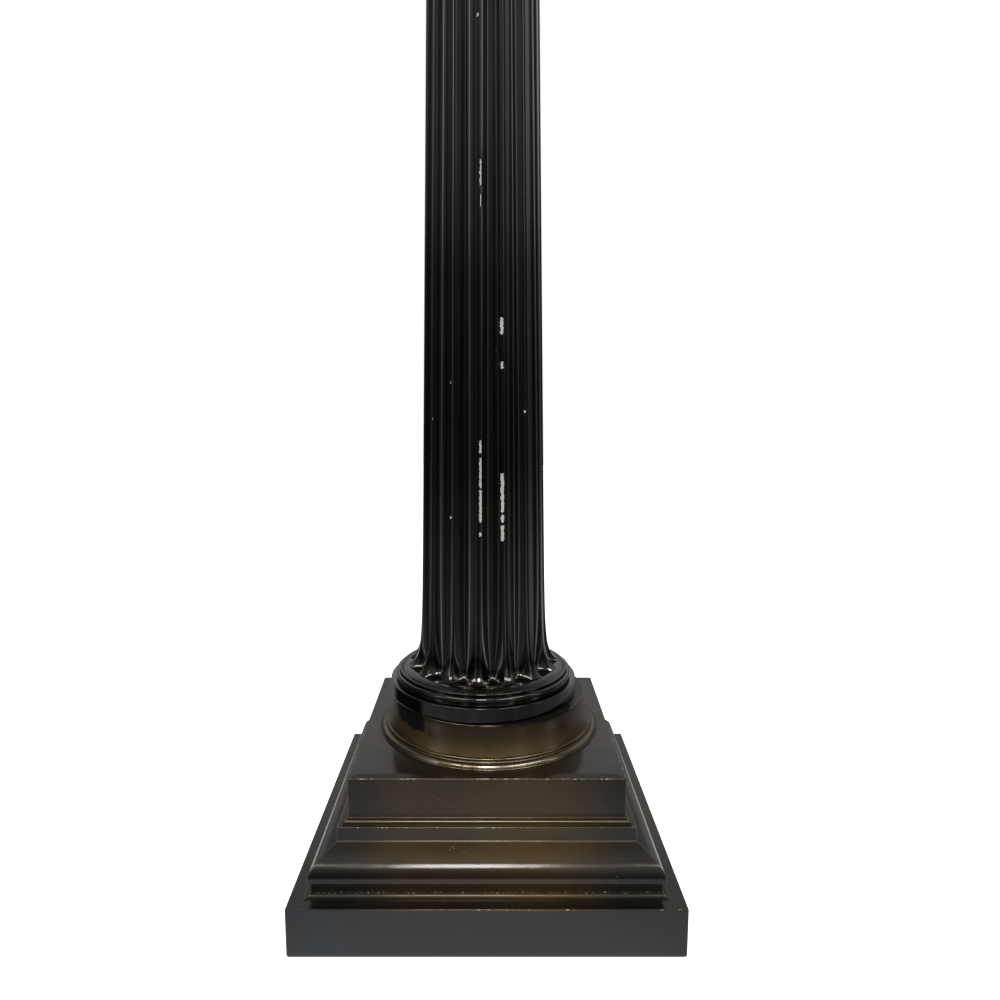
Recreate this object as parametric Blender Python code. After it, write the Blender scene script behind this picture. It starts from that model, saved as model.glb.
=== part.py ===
"""Fluted ionic column in dark bronze and black lacquer, on a stepped square plinth.

The origin is on the underside of the plinth, in the middle. +Z is up and the column's front faces -Y.
Sizes are in metres. Widths are worked out from the shaft outwards, as one projection after another.
"""

import math

import bmesh
import bpy
from mathutils import Matrix, Vector

# Gap between pieces that touch
SEAT_GAP = 0.0003

# Small rounding of crisp edges
ARRIS = 0.0006

# Shaft: radii are over the ridges between the flutes
SHAFT_RADIUS = 0.0568
SHAFT_TAPER = 0.0124
SHAFT_LENGTH = 0.7200
FOOT_FLARE = 0.0117
FOOT_FLARE_REACH = 0.0200
FOOT_FLARE_POWER = 2.45
HEAD_FLARE = 0.0030
HEAD_FLARE_HEIGHT = 0.0120
HEAD_RING_HEIGHT = 0.0040
FLUTES = 15
FLUTE_DEPTH = 0.0036
FLUTE_FLARE = 0.0062
FLUTE_FLARE_POWER = 8.0
RIDGE_WIDTH = 0.0046
FOOT_RIDGE_WIDTH = 0.0088
FLUTE_END_HEIGHT = 0.0140
FRONT_RIDGE_ANGLE = math.radians(-94.0)

# Collar: a sloping shoulder with a lip, a groove, a roll and a drum
FOOT_MARGIN = 0.0006
SHOULDER_RUN = 0.0072
SHOULDER_RISE = 0.0045
SHOULDER_SWELL = 0.0004
LIP_HEIGHT = 0.0018
GROOVE_HEIGHT = 0.0012
GROOVE_DEPTH = 0.0014
ROLL_RADIUS = 0.0032
ROLL_PROJECTION = 0.0057
DRUM_PROJECTION = 0.0025
DRUM_HEIGHT = 0.0113
COLLAR_SHIFT = -0.0037

# Bell foot
RIM_LEDGE = 0.0025
RIM_HEIGHT = 0.0020
RIM_LIP = 0.0005
BELL_SPREAD = 0.0074
BELL_HEIGHT = 0.0262
BELL_FILLET_HEIGHT = 0.0014
BEAD_RADIUS = 0.0030
BEAD_PROJECTION = 0.0057
BELL_SHIFT = 0.0015

# Plinth: a die block, a small bead, a riser, an ogee moulding and a slab
DIE_MARGIN = 0.0107
DIE_HEIGHT = 0.0330
CAP_HEIGHT = 0.0050
CAP_BEAD_REACH = 0.0035
RISER_LEDGE = 0.0019
RISER_PROJECTION = 0.0077
RISER_HEIGHT = 0.0103
MOULDING_HEIGHT = 0.0350
MOULDING_PROJECTION = 0.0200
MOULDING_BELLY_HEIGHT = 0.0150
MOULDING_BELLY_RADIUS = 0.0128
MOULDING_TUCK = 0.0075
MOULDING_SAG = 0.0006
SLAB_LEDGE = 0.0140
SLAB_HEIGHT = 0.0415
SLAB_ROUND = 0.0038

# Capital: a neck bead, an echinus, two scrolls with a cushion between them, and an abacus
NECK_BEAD_RADIUS = 0.0025
ECHINUS_HEIGHT = 0.0170
ECHINUS_PROJECTION = 0.0085
SCROLL_RADIUS = 0.0210
SCROLL_WAIST = 0.0055
SCROLL_REACH = 0.0125
SCROLL_CLEARANCE = 0.0015
FACE_REACH = 0.0060
BELT_WIDTH = 0.0120
BELT_RISE = 0.0016
CUSHION_INSET = 0.0016
VOLUTE_TURNS = 2.5
VOLUTE_RIB_WIDTH = 0.0024
VOLUTE_RIB_HEIGHT = 0.0013
VOLUTE_EYE_RADIUS = 0.0036
ABACUS_HEIGHT = 0.0110
ABACUS_OVERHANG = 0.0030
ABACUS_BEDDING = 0.0010

# Facets
ROUND_SIDES = 40
SCROLL_SIDES = 18
FLUTE_STEPS = 6
VOLUTE_STEPS = 9

# Derived radii, from the shaft outwards
FOOT_RADIUS = SHAFT_RADIUS + FOOT_FLARE
SHOULDER_RADIUS = FOOT_RADIUS + FOOT_MARGIN
LIP_RADIUS = SHOULDER_RADIUS + SHOULDER_RUN
ROLL_OUTER = LIP_RADIUS + ROLL_PROJECTION
DRUM_RADIUS = ROLL_OUTER + DRUM_PROJECTION
RIM_RADIUS = DRUM_RADIUS + RIM_LEDGE
BELL_RADIUS = RIM_RADIUS + BELL_SPREAD
BEAD_OUTER = BELL_RADIUS + BEAD_PROJECTION
DIE_HALF = BEAD_OUTER + DIE_MARGIN
RISER_HALF = DIE_HALF + RISER_PROJECTION
MOULDING_HALF = RISER_HALF + MOULDING_PROJECTION
SLAB_HALF = MOULDING_HALF + SLAB_LEDGE
HEAD_RADIUS = SHAFT_RADIUS - SHAFT_TAPER + HEAD_FLARE
NECK_RADIUS = HEAD_RADIUS + ARRIS

# Derived levels, from the ground up
MOULDING_LEVEL = SLAB_HEIGHT
RISER_LEVEL = MOULDING_LEVEL + MOULDING_HEIGHT
CAP_LEVEL = RISER_LEVEL + RISER_HEIGHT
DIE_LEVEL = CAP_LEVEL + CAP_HEIGHT
PLINTH_TOP = DIE_LEVEL + DIE_HEIGHT
BELL_LEVEL = PLINTH_TOP + SEAT_GAP
BEAD_TOP = BELL_LEVEL + 2 * BEAD_RADIUS
BELL_TOP = BEAD_TOP + BELL_HEIGHT
COLLAR_LEVEL = BELL_TOP + SEAT_GAP
ROLL_LEVEL = COLLAR_LEVEL + DRUM_HEIGHT
GROOVE_LEVEL = ROLL_LEVEL + 2 * ROLL_RADIUS
LIP_LEVEL = GROOVE_LEVEL + GROOVE_HEIGHT
SHOULDER_LEVEL = LIP_LEVEL + LIP_HEIGHT
COLLAR_TOP = SHOULDER_LEVEL + SHOULDER_RISE
SHAFT_LEVEL = COLLAR_TOP + SEAT_GAP
SHAFT_TOP = SHAFT_LEVEL + SHAFT_LENGTH
CAPITAL_LEVEL = SHAFT_TOP + SEAT_GAP
ECHINUS_LEVEL = CAPITAL_LEVEL + 2 * NECK_BEAD_RADIUS
CUSHION_LEVEL = ECHINUS_LEVEL + ECHINUS_HEIGHT - ARRIS
SCROLL_LEVEL = CAPITAL_LEVEL + SCROLL_CLEARANCE + SCROLL_RADIUS
CUSHION_TOP = SCROLL_LEVEL + SCROLL_RADIUS
ABACUS_LEVEL = CUSHION_TOP - ABACUS_BEDDING
ABACUS_TOP = ABACUS_LEVEL + ABACUS_HEIGHT

# Derived places of the scrolls
EYE_OFFSET = HEAD_RADIUS + SCROLL_REACH
FACE_OFFSET = HEAD_RADIUS + FACE_REACH
ABACUS_HALF = EYE_OFFSET + ABACUS_OVERHANG


def clear_scene():
    """Remove every object that the scene starts with."""
    for obj in list(bpy.data.objects):
        bpy.data.objects.remove(obj, do_unlink=True)


def make_material(name, colour, roughness, metallic):
    """Return a Principled material; the colour is linear RGB."""
    material = bpy.data.materials.new(name)
    material.use_nodes = True
    shader = material.node_tree.nodes["Principled BSDF"]
    shader.inputs["Base Color"].default_value = (*colour, 1.0)
    shader.inputs["Roughness"].default_value = roughness
    shader.inputs["Metallic"].default_value = metallic
    return material


def dark_bronze():
    """Grey-brown patinated bronze with a satin face."""
    return make_material("dark_bronze", (0.070, 0.058, 0.042), 0.38, 0.85)


def black_lacquer():
    """Deep brown-black lacquer with a high gloss."""
    return make_material("black_lacquer", (0.018, 0.016, 0.014), 0.10, 0.0)


def arc(centre_x, centre_z, radius_x, radius_z, start, end, steps):
    """Return points of an upright elliptical arc, angles in degrees from +X."""
    points = []
    for index in range(steps + 1):
        angle = math.radians(start + (end - start) * index / steps)
        points.append((centre_x + radius_x * math.cos(angle), centre_z + radius_z * math.sin(angle)))
    return points


def ring_of(reach, level, sides):
    """Return the points of a round ring at one level."""
    points = []
    for index in range(sides):
        angle = 2 * math.pi * index / sides
        points.append(Vector((reach * math.cos(angle), reach * math.sin(angle), level)))
    return points


def square_of(reach, level):
    """Return the four corners of a square ring at one level."""
    return [Vector((x * reach, y * reach, level)) for x, y in ((-1, -1), (1, -1), (1, 1), (-1, 1))]


def loft(name, rings):
    """Return a closed mesh through rings of equal counts, first ring lowest, each counterclockwise."""
    form = bmesh.new()
    loops = [[form.verts.new(point) for point in ring] for ring in rings]
    count = len(loops[0])
    for lower, upper in zip(loops, loops[1:]):
        for index in range(count):
            after = (index + 1) % count
            form.faces.new((lower[index], lower[after], upper[after], upper[index]))
    form.faces.new(list(reversed(loops[0])))
    form.faces.new(loops[-1])
    mesh = bpy.data.meshes.new(name)
    form.to_mesh(mesh)
    form.free()
    return mesh


def place(name, mesh, material, location=(0.0, 0.0, 0.0), crease=30.0):
    """Add one named object to the scene, with its material and smooth shading up to the crease angle."""
    mesh.materials.append(material)
    mesh.shade_smooth()
    mesh.set_sharp_from_angle(angle=math.radians(crease))
    obj = bpy.data.objects.new(name, mesh)
    obj.location = location
    bpy.context.scene.collection.objects.link(obj)
    return obj


def make_helper(name, mesh, location=(0.0, 0.0, 0.0)):
    """Return an object that only serves a Boolean."""
    obj = bpy.data.objects.new(name, mesh)
    obj.location = location
    obj.hide_render = True
    obj.display_type = "WIRE"
    return obj


def join(base, helpers):
    """Unite the base with all the helpers at once."""
    group = bpy.data.collections.new(base.name + "_parts")
    bpy.context.scene.collection.children.link(group)
    for helper in helpers:
        group.objects.link(helper)
    modifier = base.modifiers.new("join", "BOOLEAN")
    modifier.operation = "UNION"
    modifier.solver = "EXACT"
    modifier.operand_type = "COLLECTION"
    modifier.collection = group


def slab_profile():
    """Rounded underside, upright face and crisp top edge of the slab."""
    low = arc(SLAB_HALF - SLAB_ROUND, SLAB_ROUND, SLAB_ROUND, SLAB_ROUND, -90, 0, 4)
    top = arc(SLAB_HALF - ARRIS, SLAB_HEIGHT - ARRIS, ARRIS, ARRIS, 0, 90, 2)
    return low + top


def moulding_profile():
    """Ogee on the slab: a tucked belly below, then a hollow slope up to the riser."""
    belly_level = MOULDING_LEVEL + MOULDING_BELLY_HEIGHT
    belly_radius = MOULDING_BELLY_RADIUS
    tuck = arc(MOULDING_HALF - MOULDING_TUCK, belly_level, MOULDING_TUCK, MOULDING_BELLY_HEIGHT, -88, 0, 6)
    shoulder = arc(MOULDING_HALF - belly_radius, belly_level, belly_radius, belly_radius, 10, 52, 4)
    start_x, start_z = shoulder[-1]
    end_x, end_z = RISER_HALF + ARRIS, RISER_LEVEL
    hollow = []
    for share in (0.25, 0.5, 0.75, 1.0):
        sag = MOULDING_SAG * math.sin(math.pi * share)
        x = start_x + (end_x - start_x) * share - sag
        z = start_z + (end_z - start_z) * share - sag
        hollow.append((x, z))
    return tuck + shoulder + hollow


def riser_profile():
    """Upright riser, then a ledge, a small bead and a fillet at the foot of the die."""
    bead = 0.5 * (CAP_HEIGHT - 2 * ARRIS)
    points = [(RISER_HALF, RISER_LEVEL + ARRIS), (RISER_HALF, CAP_LEVEL - ARRIS)]
    points.append((RISER_HALF - ARRIS, CAP_LEVEL))
    points.append((RISER_HALF - RISER_LEDGE - ARRIS, CAP_LEVEL + 0.5 * ARRIS))
    bead_x = DIE_HALF + CAP_BEAD_REACH - bead
    points += arc(bead_x, CAP_LEVEL + ARRIS + bead, bead, bead, -60, 90, 5)
    points.append((DIE_HALF + 2 * ARRIS, DIE_LEVEL - 0.5 * ARRIS))
    points.append((DIE_HALF + 2 * ARRIS, DIE_LEVEL + ARRIS))
    return points


def die_profile():
    """Die block with a faint flare at its foot and a crisp top edge."""
    points = [(DIE_HALF + ARRIS, DIE_LEVEL + 3 * ARRIS), (DIE_HALF, DIE_LEVEL + 8 * ARRIS)]
    return points + arc(DIE_HALF - ARRIS, PLINTH_TOP - ARRIS, ARRIS, ARRIS, 0, 90, 2)


def make_plinth(material):
    """Square plinth, one casting."""
    profile = slab_profile() + moulding_profile() + riser_profile() + die_profile()
    mesh = loft("plinth", [square_of(reach, level) for reach, level in profile])
    return place("plinth", mesh, material, crease=20.0)


def bell_profile():
    """Bead ring, fillet, hollow bell and rim lip."""
    bead_centre = BEAD_OUTER - BEAD_RADIUS
    points = [(BEAD_OUTER, BELL_LEVEL)]
    points += arc(bead_centre, BELL_LEVEL + BEAD_RADIUS, BEAD_RADIUS, BEAD_RADIUS, 0, 135, 6)
    points.append((BELL_RADIUS + 0.5 * ARRIS, BEAD_TOP))
    points.append((BELL_RADIUS, BEAD_TOP + BELL_FILLET_HEIGHT))
    hollow_rise = BELL_HEIGHT - BELL_FILLET_HEIGHT - RIM_HEIGHT
    hollow_level = BEAD_TOP + BELL_FILLET_HEIGHT + hollow_rise
    points += arc(BELL_RADIUS, hollow_level, BELL_SPREAD + RIM_LIP, hollow_rise, -102, -180, 6)
    points.append((RIM_RADIUS, hollow_level + RIM_LIP))
    points += arc(RIM_RADIUS - ARRIS, BELL_TOP - ARRIS, ARRIS, ARRIS, 0, 90, 2)
    return points


def make_bell_foot(material):
    """Round bell foot, standing on the die."""
    mesh = loft("bell_foot", [ring_of(reach, level, ROUND_SIDES) for reach, level in bell_profile()])
    return place("bell_foot", mesh, material, (BELL_SHIFT, 0.0, 0.0))


def collar_profile():
    """Drum, roll, groove, lip and sloping shoulder."""
    points = arc(DRUM_RADIUS - ARRIS, COLLAR_LEVEL + ARRIS, ARRIS, ARRIS, -90, 0, 1)
    points += arc(DRUM_RADIUS - ARRIS, ROLL_LEVEL - ARRIS, ARRIS, ARRIS, 0, 90, 1)
    points += arc(ROLL_OUTER - ROLL_RADIUS, ROLL_LEVEL + ROLL_RADIUS, ROLL_RADIUS, ROLL_RADIUS, -60, 95, 6)
    points.append((LIP_RADIUS - GROOVE_DEPTH, GROOVE_LEVEL + 0.5 * ARRIS))
    points.append((LIP_RADIUS - GROOVE_DEPTH, LIP_LEVEL - 0.5 * ARRIS))
    points.append((LIP_RADIUS - 0.5 * ARRIS, LIP_LEVEL))
    points.append((LIP_RADIUS, LIP_LEVEL + 0.5 * ARRIS))
    points.append((LIP_RADIUS, SHOULDER_LEVEL - 0.5 * ARRIS))
    for share in (0.05, 0.35, 0.7, 1.0):
        swell = SHOULDER_SWELL * math.sin(math.pi * share)
        reach = LIP_RADIUS - SHOULDER_RUN * share + swell
        points.append((reach, SHOULDER_LEVEL + SHOULDER_RISE * share + swell))
    return points


def make_collar(material):
    """Lacquered collar, standing on the bell foot."""
    mesh = loft("collar", [ring_of(reach, level, ROUND_SIDES) for reach, level in collar_profile()])
    return place("collar", mesh, material, (COLLAR_SHIFT, 0.0, 0.0))


def foot_share(height, power):
    """Share of the foot's flare that is left at a height above the foot."""
    return (1 + height / FOOT_FLARE_REACH) ** -power


def ridge_radius(height):
    """Radius over the ridges at a height above the shaft's foot."""
    radius = SHAFT_RADIUS - SHAFT_TAPER * height / SHAFT_LENGTH
    radius += FOOT_FLARE * foot_share(height, FOOT_FLARE_POWER)
    below_ring = SHAFT_LENGTH - HEAD_RING_HEIGHT - height
    if below_ring < HEAD_FLARE_HEIGHT:
        radius += HEAD_FLARE * (1 - max(below_ring, 0.0) / HEAD_FLARE_HEIGHT) ** 2
    return radius


def flute_depth(height):
    """Depth of a flute's middle at a height: its floor flares out late at the foot, and its head is round."""
    depth = FLUTE_DEPTH + FOOT_FLARE * foot_share(height, FOOT_FLARE_POWER)
    depth -= FLUTE_FLARE * foot_share(height, FLUTE_FLARE_POWER)
    flute_top = SHAFT_LENGTH - HEAD_RING_HEIGHT - HEAD_FLARE_HEIGHT
    left = (flute_top - height) / FLUTE_END_HEIGHT
    if left < 1:
        depth *= math.sqrt(max(0.0, 1 - (1 - max(left, 0.0)) ** 2))
    return depth


def ridge_width(height):
    """Width of a ridge between two flutes at a height: wider in the flared foot."""
    return RIDGE_WIDTH + (FOOT_RIDGE_WIDTH - RIDGE_WIDTH) * foot_share(height, FOOT_FLARE_POWER)


def fluted_ring(height):
    """Return one ring of the shaft: a narrow ridge and a round hollow, repeated."""
    ridge = ridge_radius(height)
    depth = flute_depth(height)
    half_ridge = 0.5 * ridge_width(height) / SHAFT_RADIUS
    pitch = 2 * math.pi / FLUTES
    points = []
    for flute in range(FLUTES):
        centre = FRONT_RIDGE_ANGLE + flute * pitch
        for step in range(FLUTE_STEPS + 1):
            across = step / FLUTE_STEPS
            angle = centre + half_ridge + (pitch - 2 * half_ridge) * across
            radius = ridge - depth * math.sin(math.pi * across) ** 0.8
            level = SHAFT_LEVEL + height
            points.append(Vector((radius * math.cos(angle), radius * math.sin(angle), level)))
    return points


def shaft_heights():
    """Heights of the shaft's rings, close together where it flares."""
    heights = [FOOT_FLARE_REACH * share for share in (0.0, 0.1, 0.25, 0.45, 0.75, 1.2, 2.0, 3.5, 7.0)]
    flute_top = SHAFT_LENGTH - HEAD_RING_HEIGHT - HEAD_FLARE_HEIGHT
    heights += [flute_top - FLUTE_END_HEIGHT * share for share in (1.0, 0.65, 0.3, 0.1, 0.0)]
    heights += [flute_top + HEAD_FLARE_HEIGHT * share for share in (0.5, 1.0)]
    heights.append(SHAFT_LENGTH)
    return heights


def make_shaft(material):
    """Fluted shaft, standing on the collar's shoulder."""
    mesh = loft("shaft", [fluted_ring(height) for height in shaft_heights()])
    return place("shaft", mesh, material, (COLLAR_SHIFT, 0.0, 0.0), crease=50.0)


def echinus_profile():
    """Neck bead and echinus, up into the cushion."""
    points = arc(NECK_RADIUS, CAPITAL_LEVEL + NECK_BEAD_RADIUS, NECK_BEAD_RADIUS, NECK_BEAD_RADIUS, -90, 90, 4)
    points[0] = (NECK_RADIUS, CAPITAL_LEVEL)
    points.append((NECK_RADIUS - ARRIS, ECHINUS_LEVEL + ARRIS))
    rise = ECHINUS_HEIGHT - 2 * ARRIS
    points += arc(NECK_RADIUS, ECHINUS_LEVEL + ECHINUS_HEIGHT, ECHINUS_PROJECTION, rise, -85, 0, 4)
    points.append((NECK_RADIUS + ECHINUS_PROJECTION - 2 * ARRIS, CUSHION_LEVEL + 4 * ARRIS))
    return points


def abacus_profile():
    """Square abacus with a small ogee edge."""
    setback = 0.5 * ABACUS_HEIGHT
    points = [(ABACUS_HALF - setback, ABACUS_LEVEL)]
    points += arc(ABACUS_HALF, ABACUS_LEVEL + ARRIS, setback, 0.55 * ABACUS_HEIGHT, 180, 100, 5)
    points.append((ABACUS_HALF, ABACUS_LEVEL + 0.6 * ABACUS_HEIGHT + ARRIS))
    return points + arc(ABACUS_HALF - ARRIS, ABACUS_TOP - ARRIS, ARRIS, ARRIS, 0, 90, 2)


def scroll_profile():
    """Radius of a scroll along its length, from the back face to the front one, with a belt in the middle."""
    waist = SCROLL_RADIUS - SCROLL_WAIST
    belt = 0.5 * BELT_WIDTH
    rim = FACE_OFFSET - 3 * VOLUTE_RIB_WIDTH
    half = [(waist + BELT_RISE, belt - ARRIS)]
    for share in (0.0, 0.3, 0.65, 1.0):
        swell = SCROLL_WAIST * (1 - math.cos(0.5 * math.pi * share))
        half.append((waist + swell, belt + (rim - belt) * share))
    half.append((SCROLL_RADIUS, FACE_OFFSET))
    half.append((VOLUTE_EYE_RADIUS, FACE_OFFSET))
    half.append((VOLUTE_EYE_RADIUS, FACE_OFFSET + VOLUTE_RIB_HEIGHT + ARRIS))
    return [(radius, -reach) for radius, reach in reversed(half)] + half


def scroll_mesh(name):
    """Return one scroll, turned about an axis from back to front."""
    mesh = loft(name, [ring_of(radius, reach, SCROLL_SIDES) for radius, reach in scroll_profile()])
    mesh.transform(Matrix.Rotation(math.radians(90), 4, "X"))
    return mesh


def volute_centre_line(turn):
    """Return the place of the volute's rib on its face, for a turn counted from the top."""
    outer = SCROLL_RADIUS - 0.5 * VOLUTE_RIB_WIDTH - ARRIS
    inner = VOLUTE_EYE_RADIUS
    radius = outer * (inner / outer) ** (turn / VOLUTE_TURNS)
    angle = 0.5 * math.pi - 2 * math.pi * turn
    return radius, angle


def volute_mesh(name, hand):
    """Return a spiral rib on the front plane, winding to one hand, sunk a little into its face."""
    rings = []
    back, front = ARRIS, -VOLUTE_RIB_HEIGHT
    count = int(VOLUTE_TURNS * VOLUTE_STEPS)
    for index in range(count + 1):
        radius, angle = volute_centre_line(VOLUTE_TURNS * index / count)
        half = 0.5 * VOLUTE_RIB_WIDTH * (1 - 0.4 * index / count)
        ring = []
        for reach, y in ((-half, back), (half, back), (half, front), (-half, front)):
            x = hand * (radius + reach) * math.cos(angle)
            z = (radius + reach) * math.sin(angle)
            ring.append(Vector((x, y, z)))
        rings.append(ring if hand > 0 else ring[::-1])
    return loft(name, rings)


def box_mesh(name, half_x, half_y, low, high):
    """Return a plain box between two levels."""
    corners = ((-1, -1), (1, -1), (1, 1), (-1, 1))
    rings = [[Vector((x * half_x, y * half_y, level)) for x, y in corners] for level in (low, high)]
    return loft(name, rings)


def make_capital(material):
    """Ionic capital, standing on the shaft: neck bead, echinus, cushion, scrolls, volutes and abacus."""
    where = (COLLAR_SHIFT, 0.0, 0.0)
    mesh = loft("capital", [ring_of(reach, level, ROUND_SIDES) for reach, level in echinus_profile()])
    capital = place("capital", mesh, material, where)
    cushion = box_mesh("cushion", EYE_OFFSET, FACE_OFFSET - CUSHION_INSET, CUSHION_LEVEL, CUSHION_TOP)
    abacus = loft("abacus", [square_of(reach, level) for reach, level in abacus_profile()])
    helpers = [make_helper("cushion", cushion, where), make_helper("abacus", abacus, where)]
    for side in (-1, 1):
        eye = (COLLAR_SHIFT + side * EYE_OFFSET, 0.0, SCROLL_LEVEL)
        helpers.append(make_helper(f"scroll_{side}", scroll_mesh("scroll"), eye))
        for face in (-1, 1):
            rib = volute_mesh("volute", -side * face)
            if face > 0:
                rib.transform(Matrix.Rotation(math.pi, 4, "Z"))
            place_of_rib = (eye[0], face * FACE_OFFSET, SCROLL_LEVEL)
            helpers.append(make_helper(f"volute_{side}_{face}", rib, place_of_rib))
    join(capital, helpers)
    return capital


def main():
    """Build the five pieces, from the ground up."""
    clear_scene()
    bronze = dark_bronze()
    lacquer = black_lacquer()
    make_plinth(bronze)
    make_bell_foot(bronze)
    make_collar(lacquer)
    make_shaft(lacquer)
    make_capital(lacquer)


main()
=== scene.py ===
"""Looks of a fluted ionic column: satin bronze plinth and bell foot, black lacquered collar, shaft and capital.

Sizes are in metres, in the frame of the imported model: +Z is up and the front faces -Y. Each piece is a class that
holds its own sizes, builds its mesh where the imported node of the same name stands, and dresses it.
"""

from __future__ import annotations

import logging
import math
from dataclasses import dataclass, field
from enum import Enum

import bpy
from mathutils import Matrix, Vector, noise


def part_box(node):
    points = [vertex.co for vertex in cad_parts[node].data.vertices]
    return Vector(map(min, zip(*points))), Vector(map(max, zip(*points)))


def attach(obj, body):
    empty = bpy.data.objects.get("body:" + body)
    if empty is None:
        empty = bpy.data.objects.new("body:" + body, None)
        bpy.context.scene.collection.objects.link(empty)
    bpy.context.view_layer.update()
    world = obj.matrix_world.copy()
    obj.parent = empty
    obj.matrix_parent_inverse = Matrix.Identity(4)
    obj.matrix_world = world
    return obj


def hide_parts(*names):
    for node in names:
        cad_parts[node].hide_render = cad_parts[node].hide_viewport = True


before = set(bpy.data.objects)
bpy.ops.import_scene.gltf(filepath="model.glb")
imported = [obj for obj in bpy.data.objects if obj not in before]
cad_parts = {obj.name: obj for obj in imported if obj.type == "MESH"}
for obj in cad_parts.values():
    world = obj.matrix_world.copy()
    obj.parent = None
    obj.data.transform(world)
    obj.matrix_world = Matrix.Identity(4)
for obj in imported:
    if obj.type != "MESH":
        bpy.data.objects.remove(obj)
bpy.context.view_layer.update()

LOG = logging.getLogger("column")

Pair = tuple[float, float]
Colour = tuple[float, float, float]
Ring = list[Vector]
Profile = tuple[Pair, ...]

BODY = "root"
UNDER_COAT = {"Coat IOR": 1.5, "Specular IOR Level": 0.1}
SENSOR_WIDTH = 36.0
CREASE_ANGLE = math.radians(40.0)
CARVED_CREASE_ANGLE = math.radians(32.0)


class Slot(Enum):
    """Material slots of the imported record."""

    BRONZE = "dark_bronze"
    LACQUER = "black_lacquer"


class Wear(Enum):
    """Kinds of wear that a mesh carries as a value from 0 to 1 at each of its points."""

    EDGE = "edge"
    RUB = "rub"
    DIRT = "dirt"
    CHIP = "chip"


class Place(Enum):
    """Where a chip sits across a ridge of the shaft, as a share of the ridge's half width."""

    LEFT = -0.92
    MIDDLE = 0.0
    RIGHT = 0.92


class Operation(Enum):
    """Arithmetic on two values in a node tree."""

    ADD = "ADD"
    SUBTRACT = "SUBTRACT"
    MULTIPLY = "MULTIPLY"
    DIVIDE = "DIVIDE"
    MINIMUM = "MINIMUM"
    MAXIMUM = "MAXIMUM"
    TURN = "ARCTAN2"


# Outlines and lofted meshes


@dataclass(frozen=True)
class Station:
    """One ring of a turned or square form, with its wear."""

    reach: float
    level: float
    edge: float = 0.0
    dirt: float = 0.0
    rub: float = 0.0


@dataclass
class Outline:
    """Rings from the lowest to the highest, drawn as runs and arcs."""

    support: float = 0.0005
    stations: list[Station] = field(default_factory=list)

    def point(self, reach: float, level: float, edge: float = 0.0, dirt: float = 0.0, rub: float = 0.0) -> None:
        """Add one ring.

        Args:
            reach: Distance from the axis.
            level: Height of the ring.
            edge: Chips and specks along an arris, from 0 to 1.
            dirt: Pale deposit in a crevice, from 0 to 1.
            rub: Bare metal where hands and cloths rub, from 0 to 1.
        """
        self.stations.append(Station(reach, level, edge, dirt, rub))

    def run(self, reach: float, level: float, step: float) -> None:
        """Add a straight run from the last ring, with a supporting ring near each end.

        Args:
            reach: Distance from the axis at the run's end.
            level: Height of the run's end.
            step: Largest distance between two rings.
        """
        last = self.stations[-1]
        length = math.hypot(reach - last.reach, level - last.level)
        inner = min(self.support / max(length, 1e-6), 0.3)
        count = max(1, math.ceil(length / step))
        shares = [inner] + [index / count for index in range(1, count)] + [1 - inner]
        for share in sorted(share for share in shares if inner <= share <= 1 - inner):
            self.point(last.reach + (reach - last.reach) * share, last.level + (level - last.level) * share)
        self.point(reach, level)

    def arc(
        self, centre: Pair, radii: Pair | float, turn: Pair, steps: int, edge: float = 0.0, rub: float = 0.0
    ) -> None:
        """Add a round or elliptical arc.

        Args:
            centre: Reach and level of the arc's centre.
            radii: The radius, or the half axes along reach and level.
            turn: First and last angle in degrees, from the outward direction.
            steps: Number of chords.
            edge: Wear of the rings on the arc.
            rub: Bare metal on the rings of the arc.
        """
        wide, tall = radii if isinstance(radii, tuple) else (radii, radii)
        for index in range(steps + 1):
            angle = math.radians(turn[0] + (turn[1] - turn[0]) * index / steps)
            reach = centre[0] + wide * math.cos(angle)
            self.point(reach, centre[1] + tall * math.sin(angle), edge, rub=rub)

    def hollow(self, reach: float, level: float, sag: float, steps: int) -> None:
        """Add a shallow hollow slope from the last ring to a point.

        Args:
            reach: Distance from the axis at the slope's end.
            level: Height of the slope's end.
            sag: Depth of the hollow.
            steps: Number of chords.
        """
        last = self.stations[-1]
        for index in range(1, steps + 1):
            share = index / steps
            depth = sag * math.sin(math.pi * share)
            self.point(
                last.reach + (reach - last.reach) * share - depth,
                last.level + (level - last.level) * share - depth,
            )

    def crest(self, reach: float, level: float, size: float, edge: float, rub: float = 0.0) -> None:
        """Add a small rounded upper arris, its corner at a reach and a level.

        Args:
            reach: Distance from the axis of the corner.
            level: Height of the corner.
            size: Radius of the rounding.
            edge: Wear of the arris.
            rub: Bare metal on the arris.
        """
        self.arc((reach - size, level - size), size, (0.0, 90.0), 5, edge, rub)


def round_ring(reach: float, level: float, centre: Vector, sides: int) -> Ring:
    """Return the points of a level circle.

    Args:
        reach: Radius of the circle.
        level: Height of the circle.
        centre: Point on its axis.
        sides: Number of points.

    Returns:
        The points, counterclockwise from above.
    """
    turns = (2 * math.pi * index / sides for index in range(sides))
    return [Vector((centre.x + reach * math.cos(turn), centre.y + reach * math.sin(turn), level)) for turn in turns]


def square_side(half: float, corner: float, steps: int) -> list[float]:
    """Return places along one side of a rounded square, with a support near each corner.

    Args:
        half: Half the width of the square.
        corner: Radius of its corners.
        steps: Number of equal stretches between the corners.

    Returns:
        Distances from the middle of the side, rising.
    """
    end = half - corner
    inner = max(end - 0.0006, 0.0)
    middle = [-inner + 2 * inner * index / steps for index in range(steps + 1)]
    return [-end, *middle, end]


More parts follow.
